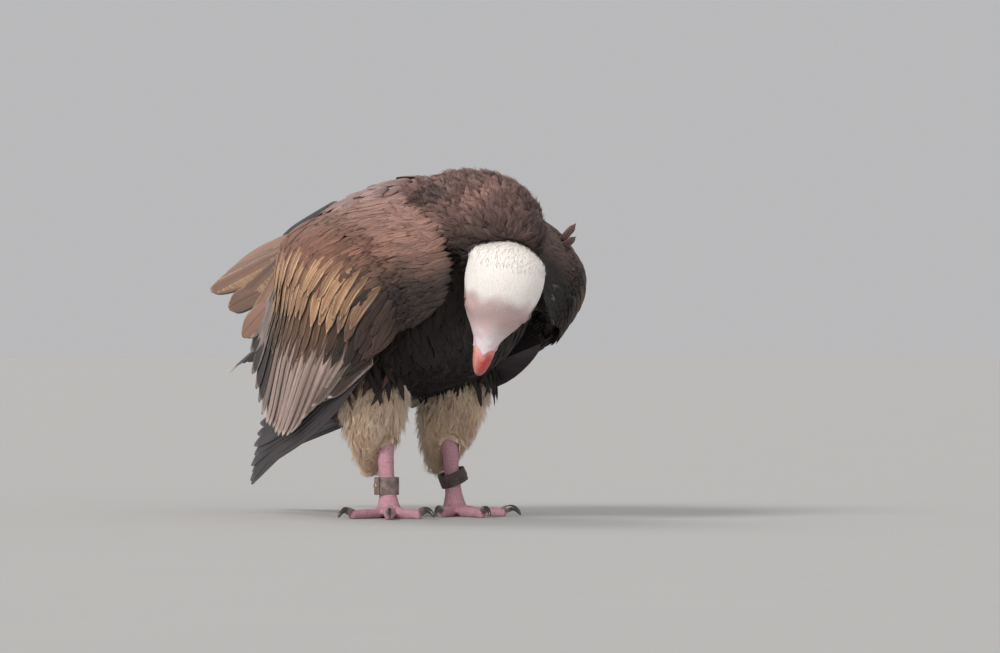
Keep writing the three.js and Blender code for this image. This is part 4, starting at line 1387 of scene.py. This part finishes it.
# %% [markdown]
# ## Flight feathers
# The secondaries of this vulture are pale, almost white, streaked and worn brown, with ash-dark
# ones at the outer end and dark ones towards the body. The primaries are long and black, and lie
# inside the secondaries when the wing is closed.
# %% Secondaries and primaries
SECONDARIES = 19
SECONDARY_START = 0.0
SECONDARY_END = 0.745
SHORTEST = 0.18  # how much shorter the outermost one is, as a share of the rib
PRIMARIES = 8
PALE_WEB = (0.47, 0.345, 0.305)
PALE_FRINGE = (0.62, 0.49, 0.43)
ASH_WEB = (0.066, 0.046, 0.041)
SOOT = (0.026, 0.020, 0.020)
SOOT_FRINGE = (0.26, 0.20, 0.18)
QUILL_BLACK = (0.030, 0.024, 0.029)
QUILL_FRINGE = (0.095, 0.078, 0.088)
PAINTED_WING_SHADE = {"right": 1.0, "left": 0.38}  # painted shade: the left wing's feathers are painted darker, as that wing lies in shade

for name in SIDES:
    rng = np.random.default_rng(71)
    surface = wings[name]
    a = SECONDARY_START + (SECONDARY_END - SECONDARY_START) * np.arange(SECONDARIES) / (SECONDARIES - 1)
    shorter = SHORTEST * (1 - ease(a, -0.1, 0.36))
    gap = np.gradient(a) * surface.at(a, np.full_like(a, 0.95))[4]
    wobble = rng.uniform(-1, 1, (3, SECONDARIES))
    points = laid(
        surface, FLIGHT, a, a + 0.004 * wobble[0], 0.50, 1.0 - shorter + 0.012 * wobble[1],
        np.clip(gap * 1.0, 10.5, 15), height=-1.2, roll=-1.6, rise=0.6, curl=0.9 * wobble[2], thick=0.9,
        square=True,
    )
    web = blend_colours(0.9 * ease(a, 0.02, 0.18), ASH_WEB, PALE_WEB)
    web = blend_colours(ease(a, 0.50, 0.58), web, SOOT) * (PAINTED_WING_SHADE[name] * (1 + 0.16 * wobble[1]))[:, None]
    fringe = blend_colours(ease(a, 0.50, 0.58), PALE_FRINGE, SOOT_FRINGE)
    joined(
        f"secondaries_{name}", FLIGHT, points, roots_of(surface, a, 0.6), web, fringe, "secondaries",
        pale_material, f"wing_{name}_secondaries",
    )
    surface = hands[name]
    a = 0.16 + 0.82 * np.arange(PRIMARIES) / (PRIMARIES - 1)
    wobble = rng.uniform(-1, 1, (3, PRIMARIES))
    points = laid(
        surface, PRIMARY, a, a, 0.1, 1.0 + 0.01 * wobble[1], 12.5, height=-1.5, roll=-0.8, rise=0.5,
        curl=0.8 * wobble[2], thick=0.8, square=True,
    )
    web = np.tile(QUILL_BLACK, (PRIMARIES, 1)) * (1 + 0.2 * wobble[0])[:, None]
    fringe = np.tile(QUILL_FRINGE, (PRIMARIES, 1))
    joined(
        f"primaries_{name}", PRIMARY, points, roots_of(surface, a, 0.1), web, fringe, "dark_quills",
        flight_material, f"wing_{name}_primaries",
    )

# %% [markdown]
# Tertials are the innermost flight feathers: broad, soft and brown, with worn tan edges. Their warm
# tan is partly painted light, standing in for light shining through them from behind. In the closed
# wing they fan out over the folded tips.
# %% Tertials
TERTIAL_A = np.array([0.765, 0.83, 0.89, 0.95, 0.995])
TERTIAL_TIP_A = np.array([0.745, 0.805, 0.868, 0.94, 1.0])
# painted light in part: these warm tans also stand in for light shining through the tertials
TERTIAL_WEB = (0.250, 0.145, 0.105)
TERTIAL_FRINGE = (0.43, 0.28, 0.175)
for name in SIDES:
    surface = wings[name]
    wobble = np.random.default_rng(72).uniform(-1, 1, (3, len(TERTIAL_A)))
    points = laid(
        surface, BROAD, TERTIAL_A, TERTIAL_TIP_A, 0.46, 1.0 + 0.02 * wobble[0], 14.0 + 1.0 * wobble[1],
        height=0.2, roll=1.8, rise=1.4, curl=2.0 * wobble[2], thick=1.6, square=True,
    )
    web = np.tile(TERTIAL_WEB, (len(TERTIAL_A), 1)) * (PAINTED_WING_SHADE[name] * (1 + 0.25 * wobble[0]))[:, None]
    fringe = np.tile(TERTIAL_FRINGE, (len(TERTIAL_A), 1)) * PAINTED_WING_SHADE[name]
    joined(
        f"tertials_{name}", BROAD, points, roots_of(surface, TERTIAL_A, 0.5), web, fringe, "secondaries",
        tertial_material,
    )

# %% [markdown]
# The tail has twelve black-brown feathers. The middle pair lies on top, and each pair further out a
# little lower. Three rows of tail coverts hide their roots.
# %% Tail
TAIL_FEATHERS = 12
TAIL_ROOT = np.array([0, 182, 262])
TAIL_TIP = np.array([0, 440, 166])
TAIL_HALF_WIDTHS = (24, 52)
TAIL_ROUNDING = 44
TAIL_SAG = 13
TAIL_WEB = (0.030, 0.022, 0.020)
TAIL_COVERT = (0.075, 0.050, 0.043)
across_tail, along_tail = np.meshgrid(np.linspace(-1, 1, GRID), np.linspace(0, 1, GRID), indexing="ij")
grid = TAIL_ROOT + (TAIL_TIP - TAIL_ROOT) * along_tail[..., None]
grid[..., 1] -= TAIL_ROUNDING * across_tail**2 * along_tail
narrow, broad = TAIL_HALF_WIDTHS
grid[..., 0] += across_tail * (narrow + (broad - narrow) * along_tail)
grid[..., 2] -= TAIL_SAG * across_tail**2 * along_tail
tail_surface = Surface(grid, 1)
a = (np.arange(TAIL_FEATHERS) + 0.5) / TAIL_FEATHERS
middle = 1 - np.abs(2 * a - 1)
points = laid(
    tail_surface, FLIGHT, a, a, 0.0, 1.0, 15.0, height=-2.5 + 1.5 * middle,
    roll=np.where(a < 0.5, -0.8, 0.8), thick=0.9
)
tail_web = np.tile(TAIL_WEB, (TAIL_FEATHERS, 1))
joined(
    "tail_feathers", FLIGHT, points, roots_of(tail_surface, a, 0.0), tail_web, tail_web * 2.2,
    "dark_quills", flight_material, "tail",
)
a_rows, b_rows, points = [], [], []
for b, length in ((-0.04, 0.20), (0.02, 0.24), (0.08, 0.28)):
    a = (np.arange(9) + (0.5 if b else 0.2)) / 9
    points += laid(tail_surface, COVERT, a, a, b, b + length, 10.5, height=1.0, rise=1.5, roll=0.3)
    a_rows.append(a)
    b_rows.append(np.full(len(a), b))
roots = roots_of(tail_surface, np.concatenate(a_rows), np.concatenate(b_rows))
web = np.tile(TAIL_COVERT, (len(roots), 1)) * (1 + 0.15 * ripple(roots, 20, 72))[:, None]
joined("tail_coverts", COVERT, points, roots, web, web * 1.6, "body_plumage", covert_material)

# %% [markdown]
# ## Coverts
# Coverts grow in rows that lie like tiles. From the flight feathers upwards come two rows of
# greater coverts, two rows of median coverts whose webs are bleached tan, and many rows of small
# soft lesser coverts over the forearm.
# %% Greater and median coverts
COVERT_BROWN = (0.120, 0.066, 0.045)
COVERT_DARK_AND_SHADED = (0.032, 0.022, 0.020)
COVERT_EDGE = (0.42, 0.26, 0.165)
COVERT_PALE = (0.58, 0.46, 0.41)
MEDIAN_TAN = (0.370, 0.208, 0.125)
MEDIAN_GOLD = (0.74, 0.52, 0.33)
MEDIAN_SHADED = (0.052, 0.032, 0.026)
COVERT_ROWS = {
    # where the tips lie at a = 0, how much lower they lie further in, length in b, pitch across and
    # half width in mm, height and rise, darkest web, also used as painted shade, lit web, fringe
    "greater": (0.675, 0.18, 0.27, 10.5, 6.8, 0.2, 1.0, COVERT_DARK_AND_SHADED, COVERT_BROWN, COVERT_EDGE),
    "middle": (0.625, 0.18, 0.26, 10.5, 6.6, 1.0, 1.2, COVERT_DARK_AND_SHADED, COVERT_BROWN, COVERT_EDGE),
    "median_low": (0.500, 0.27, 0.24, 10.8, 7.4, 2.2, 1.6, MEDIAN_SHADED, MEDIAN_TAN, MEDIAN_GOLD),
    "median_high": (0.415, 0.26, 0.21, 10.4, 7.2, 3.2, 1.8, MEDIAN_SHADED, MEDIAN_TAN, MEDIAN_GOLD),
}


def row_drop(a):
    """The rows run nearly level over the hanging wing, across its ribs, and turn up again at the back."""
    return a * (1 - ease(a, 0.62, 0.84))


for name in SIDES:
    surface = wings[name]
    rng = np.random.default_rng(73)
    for row, (tip, drop, length, pitch, half, height, rise, dark, bright, edge) in COVERT_ROWS.items():
        a = spread_evenly(surface, tip, pitch, 0.1)
        wobble = rng.uniform(-1, 1, (4, len(a)))
        b1 = tip + drop * row_drop(a) + 0.07 * (1 - ease(a, -0.02, 0.10))
        more_upright = 0.06 * (1 - ease(a, 0.12, 0.42)) * ease(a, 0.0, 0.06)
        # painted light and shade: lit is 0 towards the wing's front, which takes the web in painted shade,
        # and 1 further back, which takes the lit web; the fringe follows it
        lit = ease(a + 0.06 * rng.uniform(-1, 1, len(a)), 0.10, 0.33)
        points = laid(
            surface, MEDIAN, a + 0.012 * wobble[0], a + 0.016 * wobble[1] - more_upright, b1 - length,
            b1 + 0.028 * wobble[2], half * (0.75 + 0.25 * ease(a, 0, 0.1) + 0.12 * wobble[3]),
            height=height, roll=-0.9, rise=rise, curl=0.8 * wobble[0], thick=0.8,
        )
        # the greater rows also turn to their darkest web from a = 0.44 to 0.54
        if tip > 0.6:
            lit = lit * (1 - 0.8 * ease(a, 0.44, 0.54))
        trailing = 0.75 * bell(a - 0.775, 0.03)
        web = blend_colours(trailing, blend_colours(lit, dark, bright), COVERT_PALE)
        web = web * (PAINTED_WING_SHADE[name] * (1 + 0.25 * wobble[3]))[:, None]
        edged = np.maximum(lit, ease(a, 0.42, 0.5))
        fringe = blend_colours(edged, np.array(dark) * 1.8, edge) * PAINTED_WING_SHADE[name]
        joined(
            f"coverts_{row}_{name}", MEDIAN, points, roots_of(surface, a, b1 - length), web, fringe,
            "coverts", covert_material,
        )

# %% [markdown]
# The lesser coverts are laid row by row, from the lowest row up to the leading edge, so that each
# row lies on the one below it. Their places, lengths and tilts vary a little, and that is what
# makes them look soft.
# %% Lesser coverts
LESSER_FROM = 0.275
LESSER_DROP = 0.22
LESSER_PITCH = 6.2
LESSER_STEP = 0.0185
LESSER_LENGTH = 0.100
LESSER_WEB = (0.205, 0.100, 0.072)
LESSER_DARK = (0.027, 0.019, 0.017)
LESSER_LIT = (0.300, 0.172, 0.148)
# painted shade: a dark line is painted on the lesser coverts along the gap between the shoulder's feathers
# and the wing's, where shade falls into it
SLIT_AT = np.array([-71, -17, 328])
SLIT_ALONG = unit([-18, 35, -12])
SLIT_HALF_LENGTH = 19
SLIT_WIDTH = 5
for name in SIDES:
    surface = wings[name]
    rng = np.random.default_rng(74)
    a_parts, b_parts = [], []
    for number, b in enumerate(np.arange(LESSER_FROM, -0.03, -LESSER_STEP)):
        a = spread_evenly(surface, max(b, 0), LESSER_PITCH, 0.25 + 0.5 * (number % 2))
        a_parts.append(a + rng.uniform(-0.009, 0.009, len(a)))
        lower = LESSER_DROP * row_drop(a) * min(max(b, 0) / LESSER_FROM, 1)
        b_parts.append(b + lower + rng.uniform(-0.008, 0.008, len(a)))
    a, b = np.concatenate(a_parts), np.concatenate(b_parts)
    wobble = rng.uniform(-1, 1, (5, len(a)))
    points = laid(
        surface, SMALL, a, a + 0.022 * wobble[0], b, b + LESSER_LENGTH * (1 + 0.25 * wobble[1]),
        5.4 * (1 + 0.2 * wobble[2]), height=-0.6 + 4.0 * ease(b, 0.1, 0.30), rise=1.2 + 0.5 * wobble[3],
        roll=0.4 * wobble[4], thick=0.6,
    )
    roots = roots_of(surface, a, b)
    lit = ease(a + 0.04 * ripple(roots, 40, 75), 0.15, 0.34)
    lit = lit * (1 - 0.3 * ease(ripple(roots, 24, 77), 0.2, 1.2))
    web = blend_colours(lit, LESSER_DARK, LESSER_WEB)
    top = lit * ease(-b + 0.03 * ripple(roots, 30, 78), -0.2, -0.02)
    web = blend_colours(0.7 * top + 0.2 * lit * ease(ripple(roots, 26, 76), 0.2, 1), web, LESSER_LIT)
    gap = roots - SLIT_AT
    beside = (np.abs(gap @ SLIT_ALONG) < SLIT_HALF_LENGTH)[:, None]
    gap = np.linalg.norm(gap - np.outer(gap @ SLIT_ALONG, SLIT_ALONG) * beside, axis=1)
    # painted shade in the gap between shoulder and wing
    web = web * (1 - 0.92 * bell(gap, SLIT_WIDTH))[:, None]
    if name == "left":
        web = blend_colours(0.7 * ease(ripple(roots, 5, 79), 1.0, 1.4), web, (0.42, 0.34, 0.32))
    web = web * (PAINTED_WING_SHADE[name] * (1 + 0.16 * wobble[3]))[:, None]
    joined(
        f"coverts_lesser_{name}", SMALL, points, roots, web, web * 1.4, "coverts", covert_material,
        f"wing_{name}_arm",
    )

# %% [markdown]
# ## Body feathers
# Everywhere else the feathers grow from the skin in no strict rows. They are scattered so that no
# two roots are closer than a set spacing, and most parts of the coat have none where a wing covers
# the skin.
# %% Scatter roots over the skin
skin_points = points_of(skin_mesh)
skin_normals = normals_of(skin_mesh)
skin_faces = np.array([face.vertices for face in skin_mesh.polygons])
face_normals = unit(skin_normals[skin_faces].mean(axis=1))
skin_mesh.calc_loop_triangles()
skin_triangles = values_of(skin_mesh.loop_triangles, "vertices", 3, int)
part_of_point = np.concatenate([body_part, np.full(counts[1], -1), np.full(counts[2], -2)])
part_of_face = part_of_point[skin_faces[:, 0]]
HEAD_SKIN = -1
WING_PARTS = ("arm", "secondaries", "primaries")
cover_tree = tree_of(*[f"wing_{side}_{part}" for side in SIDES for part in WING_PARTS], "tail")


def scattered(parts, spacing, seed):
    """Roots at least `spacing` mm apart on some parts of the skin, with their normals."""
    rng = np.random.default_rng(seed)
    chosen = np.isin(part_of_point[skin_triangles], parts).all(axis=1)
    corners = skin_points[skin_triangles[chosen]]
    spans = np.cross(corners[:, 1] - corners[:, 0], corners[:, 2] - corners[:, 0])
    areas = np.linalg.norm(spans, axis=1) / 2
    tries = int(areas.sum() / spacing**2 * 4)
    pick = rng.choice(len(areas), tries, p=areas / areas.sum())
    first = np.sqrt(rng.random(tries))
    second = rng.random(tries)
    weights = np.stack([1 - first, first * (1 - second), first * second], axis=1)[..., None]
    points = (corners[pick] * weights).sum(axis=1)
    normals = unit((skin_normals[skin_triangles[chosen][pick]] * weights).sum(axis=1))
    taken = {}
    kept = []
    steps = [(x, y, z) for x in (-1, 0, 1) for y in (-1, 0, 1) for z in (-1, 0, 1)]
    for i, cell in enumerate(map(tuple, np.floor(points / spacing).astype(int))):
        near = [j for x, y, z in steps for j in taken.get((cell[0] + x, cell[1] + y, cell[2] + z), ())]
        if all(((points[i] - points[j]) ** 2).sum() > spacing**2 for j in near):
            taken.setdefault(cell, []).append(i)
            kept.append(i)
    return points[kept], normals[kept]


def uncovered(points, normals, reach=12):
    """Which roots have no wing or tail close above them."""
    places = to_frame(points + normals * 0.5)
    hits = [cover_tree.ray_cast(Vector(p), Vector(n), reach * MM)[0] for p, n in zip(places, normals)]
    return np.array([hit is None for hit in hits])


print("skin triangles:", len(skin_triangles))

# %% [markdown]
# The lie of the coat: feathers point away from the head over the neck, down over the breast, back
# along the body, and down the thigh. Each feather's line is walked over the skin in short steps,
# and the feather bends to the middle and the end of that walk, so it never stands off a round body.
# %% Lay feathers along the coat
RUFF_FROM = np.array([-14, -222, 262])
WALK_STEPS = 4


def lie_of_coat(points, part):
    back = ease(points[:, 1], -135, -20)[:, None]
    trunk = (1 - back) * [0, 0.25, -1.0] + back * [0, 1.0, -0.4]
    top = ease(points[:, 2], 300, 340)[:, None]
    trunk = (1 - top) * trunk + top * [0, 1.0, -0.12]
    neck = unit(points - RUFF_FROM) + [0, 0.1, -0.35]
    wing = np.broadcast_to([0, 0.75, -0.6], points.shape)
    thigh = np.broadcast_to([0, 0.12, -1.0], points.shape)
    aside = 0.16 * np.sign(points[:, 0])
    shoulder = np.stack([aside, np.ones(len(points)), np.full(len(points), -0.3)], axis=1)
    return by_part(part, trunk, neck, thigh, shoulder, wing)


def settled(points):
    """The nearest places on the skin, the way out there, and the faces they lie on."""
    found = [skin_tree.find_nearest(Vector(place)) for place in to_frame(points)]
    faces = np.array([row[2] for row in found])
    return to_bird([row[0] for row in found]), face_normals[faces], faces


def laid_on_skin(patterns, roots, normals, flow, length, half, height, rise, sway, thick):
    """For each feather, its pattern's points over the skin."""
    places, outs, heading = [roots], [normals], flow
    for _ in range(WALK_STEPS):
        heading = unit(heading - (heading * outs[-1]).sum(axis=1, keepdims=True) * outs[-1])
        place, out, _ = settled(places[-1] + heading * (length / WALK_STEPS)[:, None])
        places.append(place)
        outs.append(out)
    start, middle, end = places[0], places[WALK_STEPS // 2], places[-1]
    points = [None] * len(roots)
    for number, pattern in enumerate(patterns):
        mine = np.arange(number, len(roots), len(patterns))
        x, y, z = pattern.points.T
        share = y[None, :, None]
        line = start[mine, None] * (1 - share) * (1 - 2 * share)
        line = line + middle[mine, None] * 4 * share * (1 - share)
        line = line + end[mine, None] * share * (2 * share - 1)
        ahead = start[mine, None] * (4 * share - 3) + middle[mine, None] * (4 - 8 * share)
        ahead = unit(ahead + end[mine, None] * (4 * share - 1))
        out = unit(outs[0][mine, None] * (1 - share) + outs[-1][mine, None] * share)
        side = np.cross(ahead, out)
        aside = x[None] * half[mine, None] + sway[mine, None] * y[None] ** 2
        stand = height + rise[mine, None] * y[None] + thick * z[None]
        laid_points = line + side * aside[..., None] + np.cross(side, ahead) * stand[..., None]
        for place, copy in zip(mine, laid_points):
            points[place] = copy
    return points


def feathered(
    name, patterns, parts, spacing, length, half, rise, slot, material, seed, nodes=(), flow=lie_of_coat,
    shades=coat_colour, fringe=1.5, wild=0.2, height=0.5, thick=0.9, keep=uncovered,
):
    """A part of the coat: scattered roots, each with a feather of about the given size."""
    roots, normals = scattered(parts, spacing, seed)
    stay = keep(roots, normals)
    roots, normals = roots[stay], normals[stay]
    wobble = np.random.default_rng(seed + 1).uniform(-1, 1, (6, len(roots)))
    part = part_of_face[settled(roots)[2]]
    direction = unit(flow(roots, part))
    direction = direction + unit(np.cross(direction, normals)) * (wild * wobble[0])[:, None]
    long = (length(roots) if callable(length) else length) * (1 + 0.18 * wobble[1])
    wide = half * (1 + 0.15 * wobble[2])
    lift = rise * (1 + 0.5 * wobble[3])
    sway = 5 * wild * wobble[4]
    points = laid_on_skin(patterns, roots, normals, direction, long, wide, height, lift, sway, thick)
    web = shades(roots, part) * (1 + 0.16 * wobble[5] + 0.14 * ripple(roots, 16, seed))[:, None]
    return joined(name, patterns, points, roots, web, web * fringe, slot, material, *nodes)


# %% [markdown]
# The ruff and neck carry narrow, soft feathers that stand out a little, with tufts of down between
# them. The breast, back and flanks have broader ones that lie flatter. Scapulars are long and
# smooth; they grow from the shoulder and cover the join of the wing and the back.
# %% Neck, trunk and shoulders


def exposed(roots, normals):
    from_wings = distances(roots, ["wing_right_arm", "wing_left_arm"]).min(axis=0)
    beside_wing = (from_wings < 9) & (roots[:, 1] > -105)
    return uncovered(roots, normals, reach=7) & ~beside_wing


def behind(roots, normals):
    return uncovered(roots, normals) & (roots[:, 1] > 20)


def in_front(roots, normals):
    return uncovered(roots, normals) & (roots[:, 1] <= 24)


def on_top(roots, normals):
    return normals[:, 2] > -0.2


feathered(
    "ruff", LOOSE, [NECK], 5.0, length=24.0, half=5.2, rise=2.4, slot="body_plumage",
    material=body_material, seed=81, nodes=("neck",), wild=0.5, fringe=1.25, keep=exposed,
)
feathered(
    "ruff_down", FLUFF, [NECK], 4.8, length=17.0, half=9.0, rise=3.4, slot="body_plumage",
    material=down_material, seed=82, wild=0.6, fringe=1.5, height=1.4, thick=8.0, keep=exposed,
)
feathered(
    "breast_feathers", SMALL, [TRUNK], 6.2, length=30.0, half=6.4, rise=2.6, slot="body_plumage",
    material=body_material, seed=83, nodes=("trunk",), wild=0.3, keep=in_front,
)
feathered(
    "back_feathers", SMALL, [TRUNK], 7.0, length=32.0, half=7.2, rise=2.6, slot="body_plumage",
    material=body_material, seed=84, wild=0.22, keep=behind,
)
feathered(
    "scapulars", COVERT, [SHOULDER_RIGHT, SHOULDER_LEFT], 9.5, length=44.0, half=9.0, rise=3.2,
    slot="coverts", material=covert_material, seed=79, nodes=("scapulars_right", "scapulars_left"),
    wild=0.12, height=0.8, thick=1.3, keep=on_top,
)

# %% [markdown]
# The cape of the neck spills over the front of both wings, so no line shows where the neck ends.
# %% Cape over the wings
CAPE_REACH = 8
CAPE_BACK = -92


def cape(roots, normals):
    from_neck = distances(roots, ["neck"])[0] + 4 * ripple(roots, 20, 95)
    return (from_neck < CAPE_REACH) & (roots[:, 2] > 215) & (roots[:, 1] < CAPE_BACK)


def cape_colour(roots, part):
    like_wing = LESSER_LIT * np.where(roots[:, :1] < 0, PAINTED_WING_SHADE["right"], PAINTED_WING_SHADE["left"])
    like_neck = coat_colour(roots, np.full(len(roots), NECK))
    return blend_colours(np.full(len(roots), 0.75), like_neck, like_wing)


feathered(
    "cape", LOOSE, [ARM_RIGHT, ARM_LEFT], 5.2, length=25.0, half=6.0, rise=3.0, slot="body_plumage",
    material=body_material, seed=94, wild=0.4, height=2.6, keep=cape, shades=cape_colour,
    flow=lambda roots, part: unit(roots - RUFF_FROM) + [0, 0.3, -0.35],
)

# %% [markdown]
# A few feathers are placed one by one. Two long black scapulars lie along the edge of the back;
# their near-black is partly their own colour and partly painted shade. Two small ones have come
# loose at the left shoulder and stick up, as happens on every live bird.
# %% Single feathers


def single(name, patterns, roots, tips, outward, half, web, fringe, material):
    """Feathers laid from each root to its tip, with their faces turned `outward`."""
    points = []
    for i, (root, tip) in enumerate(zip(np.array(roots, float), np.array(tips, float))):
        x, y, z = patterns[i % len(patterns)].points.T
        ahead = unit(tip - root)
        side = unit(np.cross(ahead, outward))
        blade = root + np.outer(y, tip - root) + np.outer(x * half, side)
        points.append(blade + np.outer(z + 3 * y * (1 - y), np.cross(side, ahead)))
    count = len(points)
    joined(
        name, patterns, points, np.array(roots, float), np.tile(web, (count, 1)),
        np.tile(fringe, (count, 1)), "body_plumage", material,
    )


# painted shade in part: the edge scapulars' web is darkened to 0.4 of SOOT
single(
    "edge_scapulars", BROAD, [(-58, 96, 341), (-64, 104, 333)], [(-76, 199, 306), (-80, 185, 299)],
    unit([-0.55, -0.45, 0.7]), 9.0, np.array(SOOT) * 0.4, SOOT, covert_material,
)
single(
    "loose_feather", COVERT, [(124, -80, 298), (122, -84, 290)], [(138, -88, 317), (134, -96, 303)],
    view_back, 4.2, np.array(PALE_AND_LIT_BROWN) * 0.6, PALE_AND_LIT_BROWN, covert_material,
)

# %% [markdown]
# The wing's inner side and edges get small dark feathers, wherever no covert hides the skin.
# %% Wing linings


def wing_edge(roots, normals):
    """Roots on a wing's rim or inner side: the ones that face away from the coverts."""
    turned_away = np.zeros(len(roots), bool)
    lines = np.linspace(0, 1, GRID)[::4]
    for name, surface in wings.items():
        a, b = (axis.ravel() for axis in np.meshgrid(lines, lines[lines < COVERT_SHARE], indexing="ij"))
        place, _, _, out, _ = surface.at(a, b)
        mine = np.flatnonzero(roots[:, 0] * SIDES[name] > 0)
        nearest = ((roots[mine, None] - place[None]) ** 2).sum(axis=2).argmin(axis=1)
        limit = np.where(a[nearest] < 0.05, 0.5, np.where(b[nearest] < 0.05, 0.1, -0.1))
        turned_away[mine] = (normals[mine] * out[nearest]).sum(axis=1) < limit
    return turned_away


def lining_colour(roots, part):
    upper = ease(roots[:, 2], 272, 300)
    brown = blend_colours(0.9 * upper, LESSER_DARK, LESSER_WEB)
    return brown * (0.75 + 0.3 * ripple(roots, 22, 86))[:, None]


feathered(
    "wing_linings", SMALL, [ARM_RIGHT, ARM_LEFT], 7.0, length=22.0, half=6.4, rise=1.4, slot="coverts",
    material=covert_material, seed=85, keep=wing_edge, shades=lining_colour,
)

# %% [markdown]
# The trousers are long, loose down over soft feathers, which hides the heel and hangs in wisps.
# Black-brown belly feathers fall over their tops. The vent between tail and legs has brown down.
# %% Trousers, belly fringe and vent


def trouser_length(roots):
    return 18 + 7 * ease(-roots[:, 2], -120, -70)


def belly(roots, normals):
    return (roots[:, 2] < 178) & (roots[:, 1] < 70) & (normals[:, 2] < 0.2) & uncovered(roots, normals)


def vent(roots, normals):
    return (roots[:, 1] > 80) & (roots[:, 2] < 200) & uncovered(roots, normals)


def over_the_thigh(roots, normals):
    return (roots[:, 2] > 146) & (roots[:, 2] < 176) & (normals[:, 1] < 0.6)


def fringe_colour(roots, part):
    return blend_colours(0.6 * ease(ripple(roots, 12, 96), 0.2, 1.0), BLACK_BROWN, WARM_BROWN)


def straight_down(roots, part):
    return np.broadcast_to([0, 0.15, -1.0], roots.shape)


cream_material = feather_finish(
    "trouser_feathers", barbs=40.0, fringe_start=0.5, shaft=1.0, streaks=0.05, root=0.96, lines_depth=0.05,
    roughness=0.9, glow=0.5,
)
feathered(
    "trouser_feathers", LOOSE, [THIGH_RIGHT, THIGH_LEFT], 5.4, length=trouser_length, half=4.6,
    rise=1.6, slot="trousers", material=cream_material, seed=86, nodes=("thigh_right", "thigh_left"),
    fringe=1.0, wild=0.35, height=1.0, thick=0.7,
)
feathered(
    "trousers", FLUFF, [THIGH_RIGHT, THIGH_LEFT], 3.6, length=trouser_length, half=13.0, rise=7.0,
    slot="trousers", material=cream_down_material, seed=87, fringe=1.0, wild=0.35, height=1.6,
    thick=13.0,
)
feathered(
    "thigh_fringe", LOOSE, [THIGH_RIGHT, THIGH_LEFT], 6.5, length=28.0, half=4.2, rise=6.0,
    slot="body_plumage", material=body_material, seed=97, fringe=1.4, wild=0.5, height=9.0, thick=1.0,
    keep=over_the_thigh, shades=fringe_colour, flow=straight_down,
)
feathered(
    "belly_fringe", DOWN, [TRUNK], 5.6, length=38.0, half=16.0, rise=3.0, slot="body_plumage",
    material=down_material, seed=88, fringe=1.5, wild=0.4, height=1.0, thick=14.0, keep=belly,
    flow=straight_down,
)
feathered(
    "vent_down", DOWN, [TRUNK], 7.0, length=32.0, half=18.0, rise=3.0, slot="body_plumage",
    material=down_material, seed=89, fringe=1.5, wild=0.5, height=1.0, thick=16.0, keep=vent,
)

# %% [markdown]
# The crown wears a short white plush, which is longest at the nape and shortest at the brow.
# %% Crown
PLUSH_SPACING = 1.9
PLUSH_WHITE = (0.84, 0.80, 0.775)
PLUSH_STAINED = (0.70, 0.56, 0.45)


def crown(roots, normals):
    forward, left, dorsal = on_head(roots).T
    edge = 4 + 3 * ripple(roots, 12, 91) - 0.10 * np.abs(left) + 6 * ease(dorsal, 15, 30)
    return (forward < edge) & (forward > -66)


def plush_length(roots):
    forward = on_head(roots)[:, 0]
    return 2.6 + 1.6 * ease(-forward, -4, 20) + 4.0 * ease(-forward, 36, 56)


def toward_nape(roots, parts):
    return np.tile(-HEAD_FORWARD, (len(roots), 1)) + 0.25 * unit(on_head(roots) * [0, 1, 1]) @ HEAD_AXES


def crown_colour(roots, parts):
    return blend_colours(0.3 * ease(ripple(roots, 20, 92), 0.5, 1.2), PLUSH_WHITE, PLUSH_STAINED)


def nape(roots, normals):
    return on_head(roots)[:, 0] < -34


feathered(
    "crown_plush", PLUSH, [HEAD_SKIN], PLUSH_SPACING, length=plush_length, half=1.25, rise=0.1,
    slot="head_skin", material=plush_material, seed=93, nodes=("head",), flow=toward_nape,
    shades=crown_colour, fringe=1.02, wild=0.35, height=-0.05, thick=0.4, keep=crown,
)
feathered(
    "nape_plush", PLUSH, [HEAD_SKIN], 3.0, length=7.0, half=1.8, rise=1.4, slot="head_skin",
    material=plush_material, seed=98, flow=toward_nape, shades=crown_colour, fringe=1.02, wild=0.5,
    height=0.0, thick=2.0, keep=nape,
)

# %% [markdown]
# ## The end
# The last lines print how many faces the finished bird has.
# %% Count the faces
bpy.context.view_layer.update()
graph = bpy.context.evaluated_depsgraph_get()
evaluated = [thing.evaluated_get(graph) for thing in bpy.data.objects if thing.type == "MESH"]
print("faces in all:", sum(len(thing.data.polygons) for thing in evaluated))
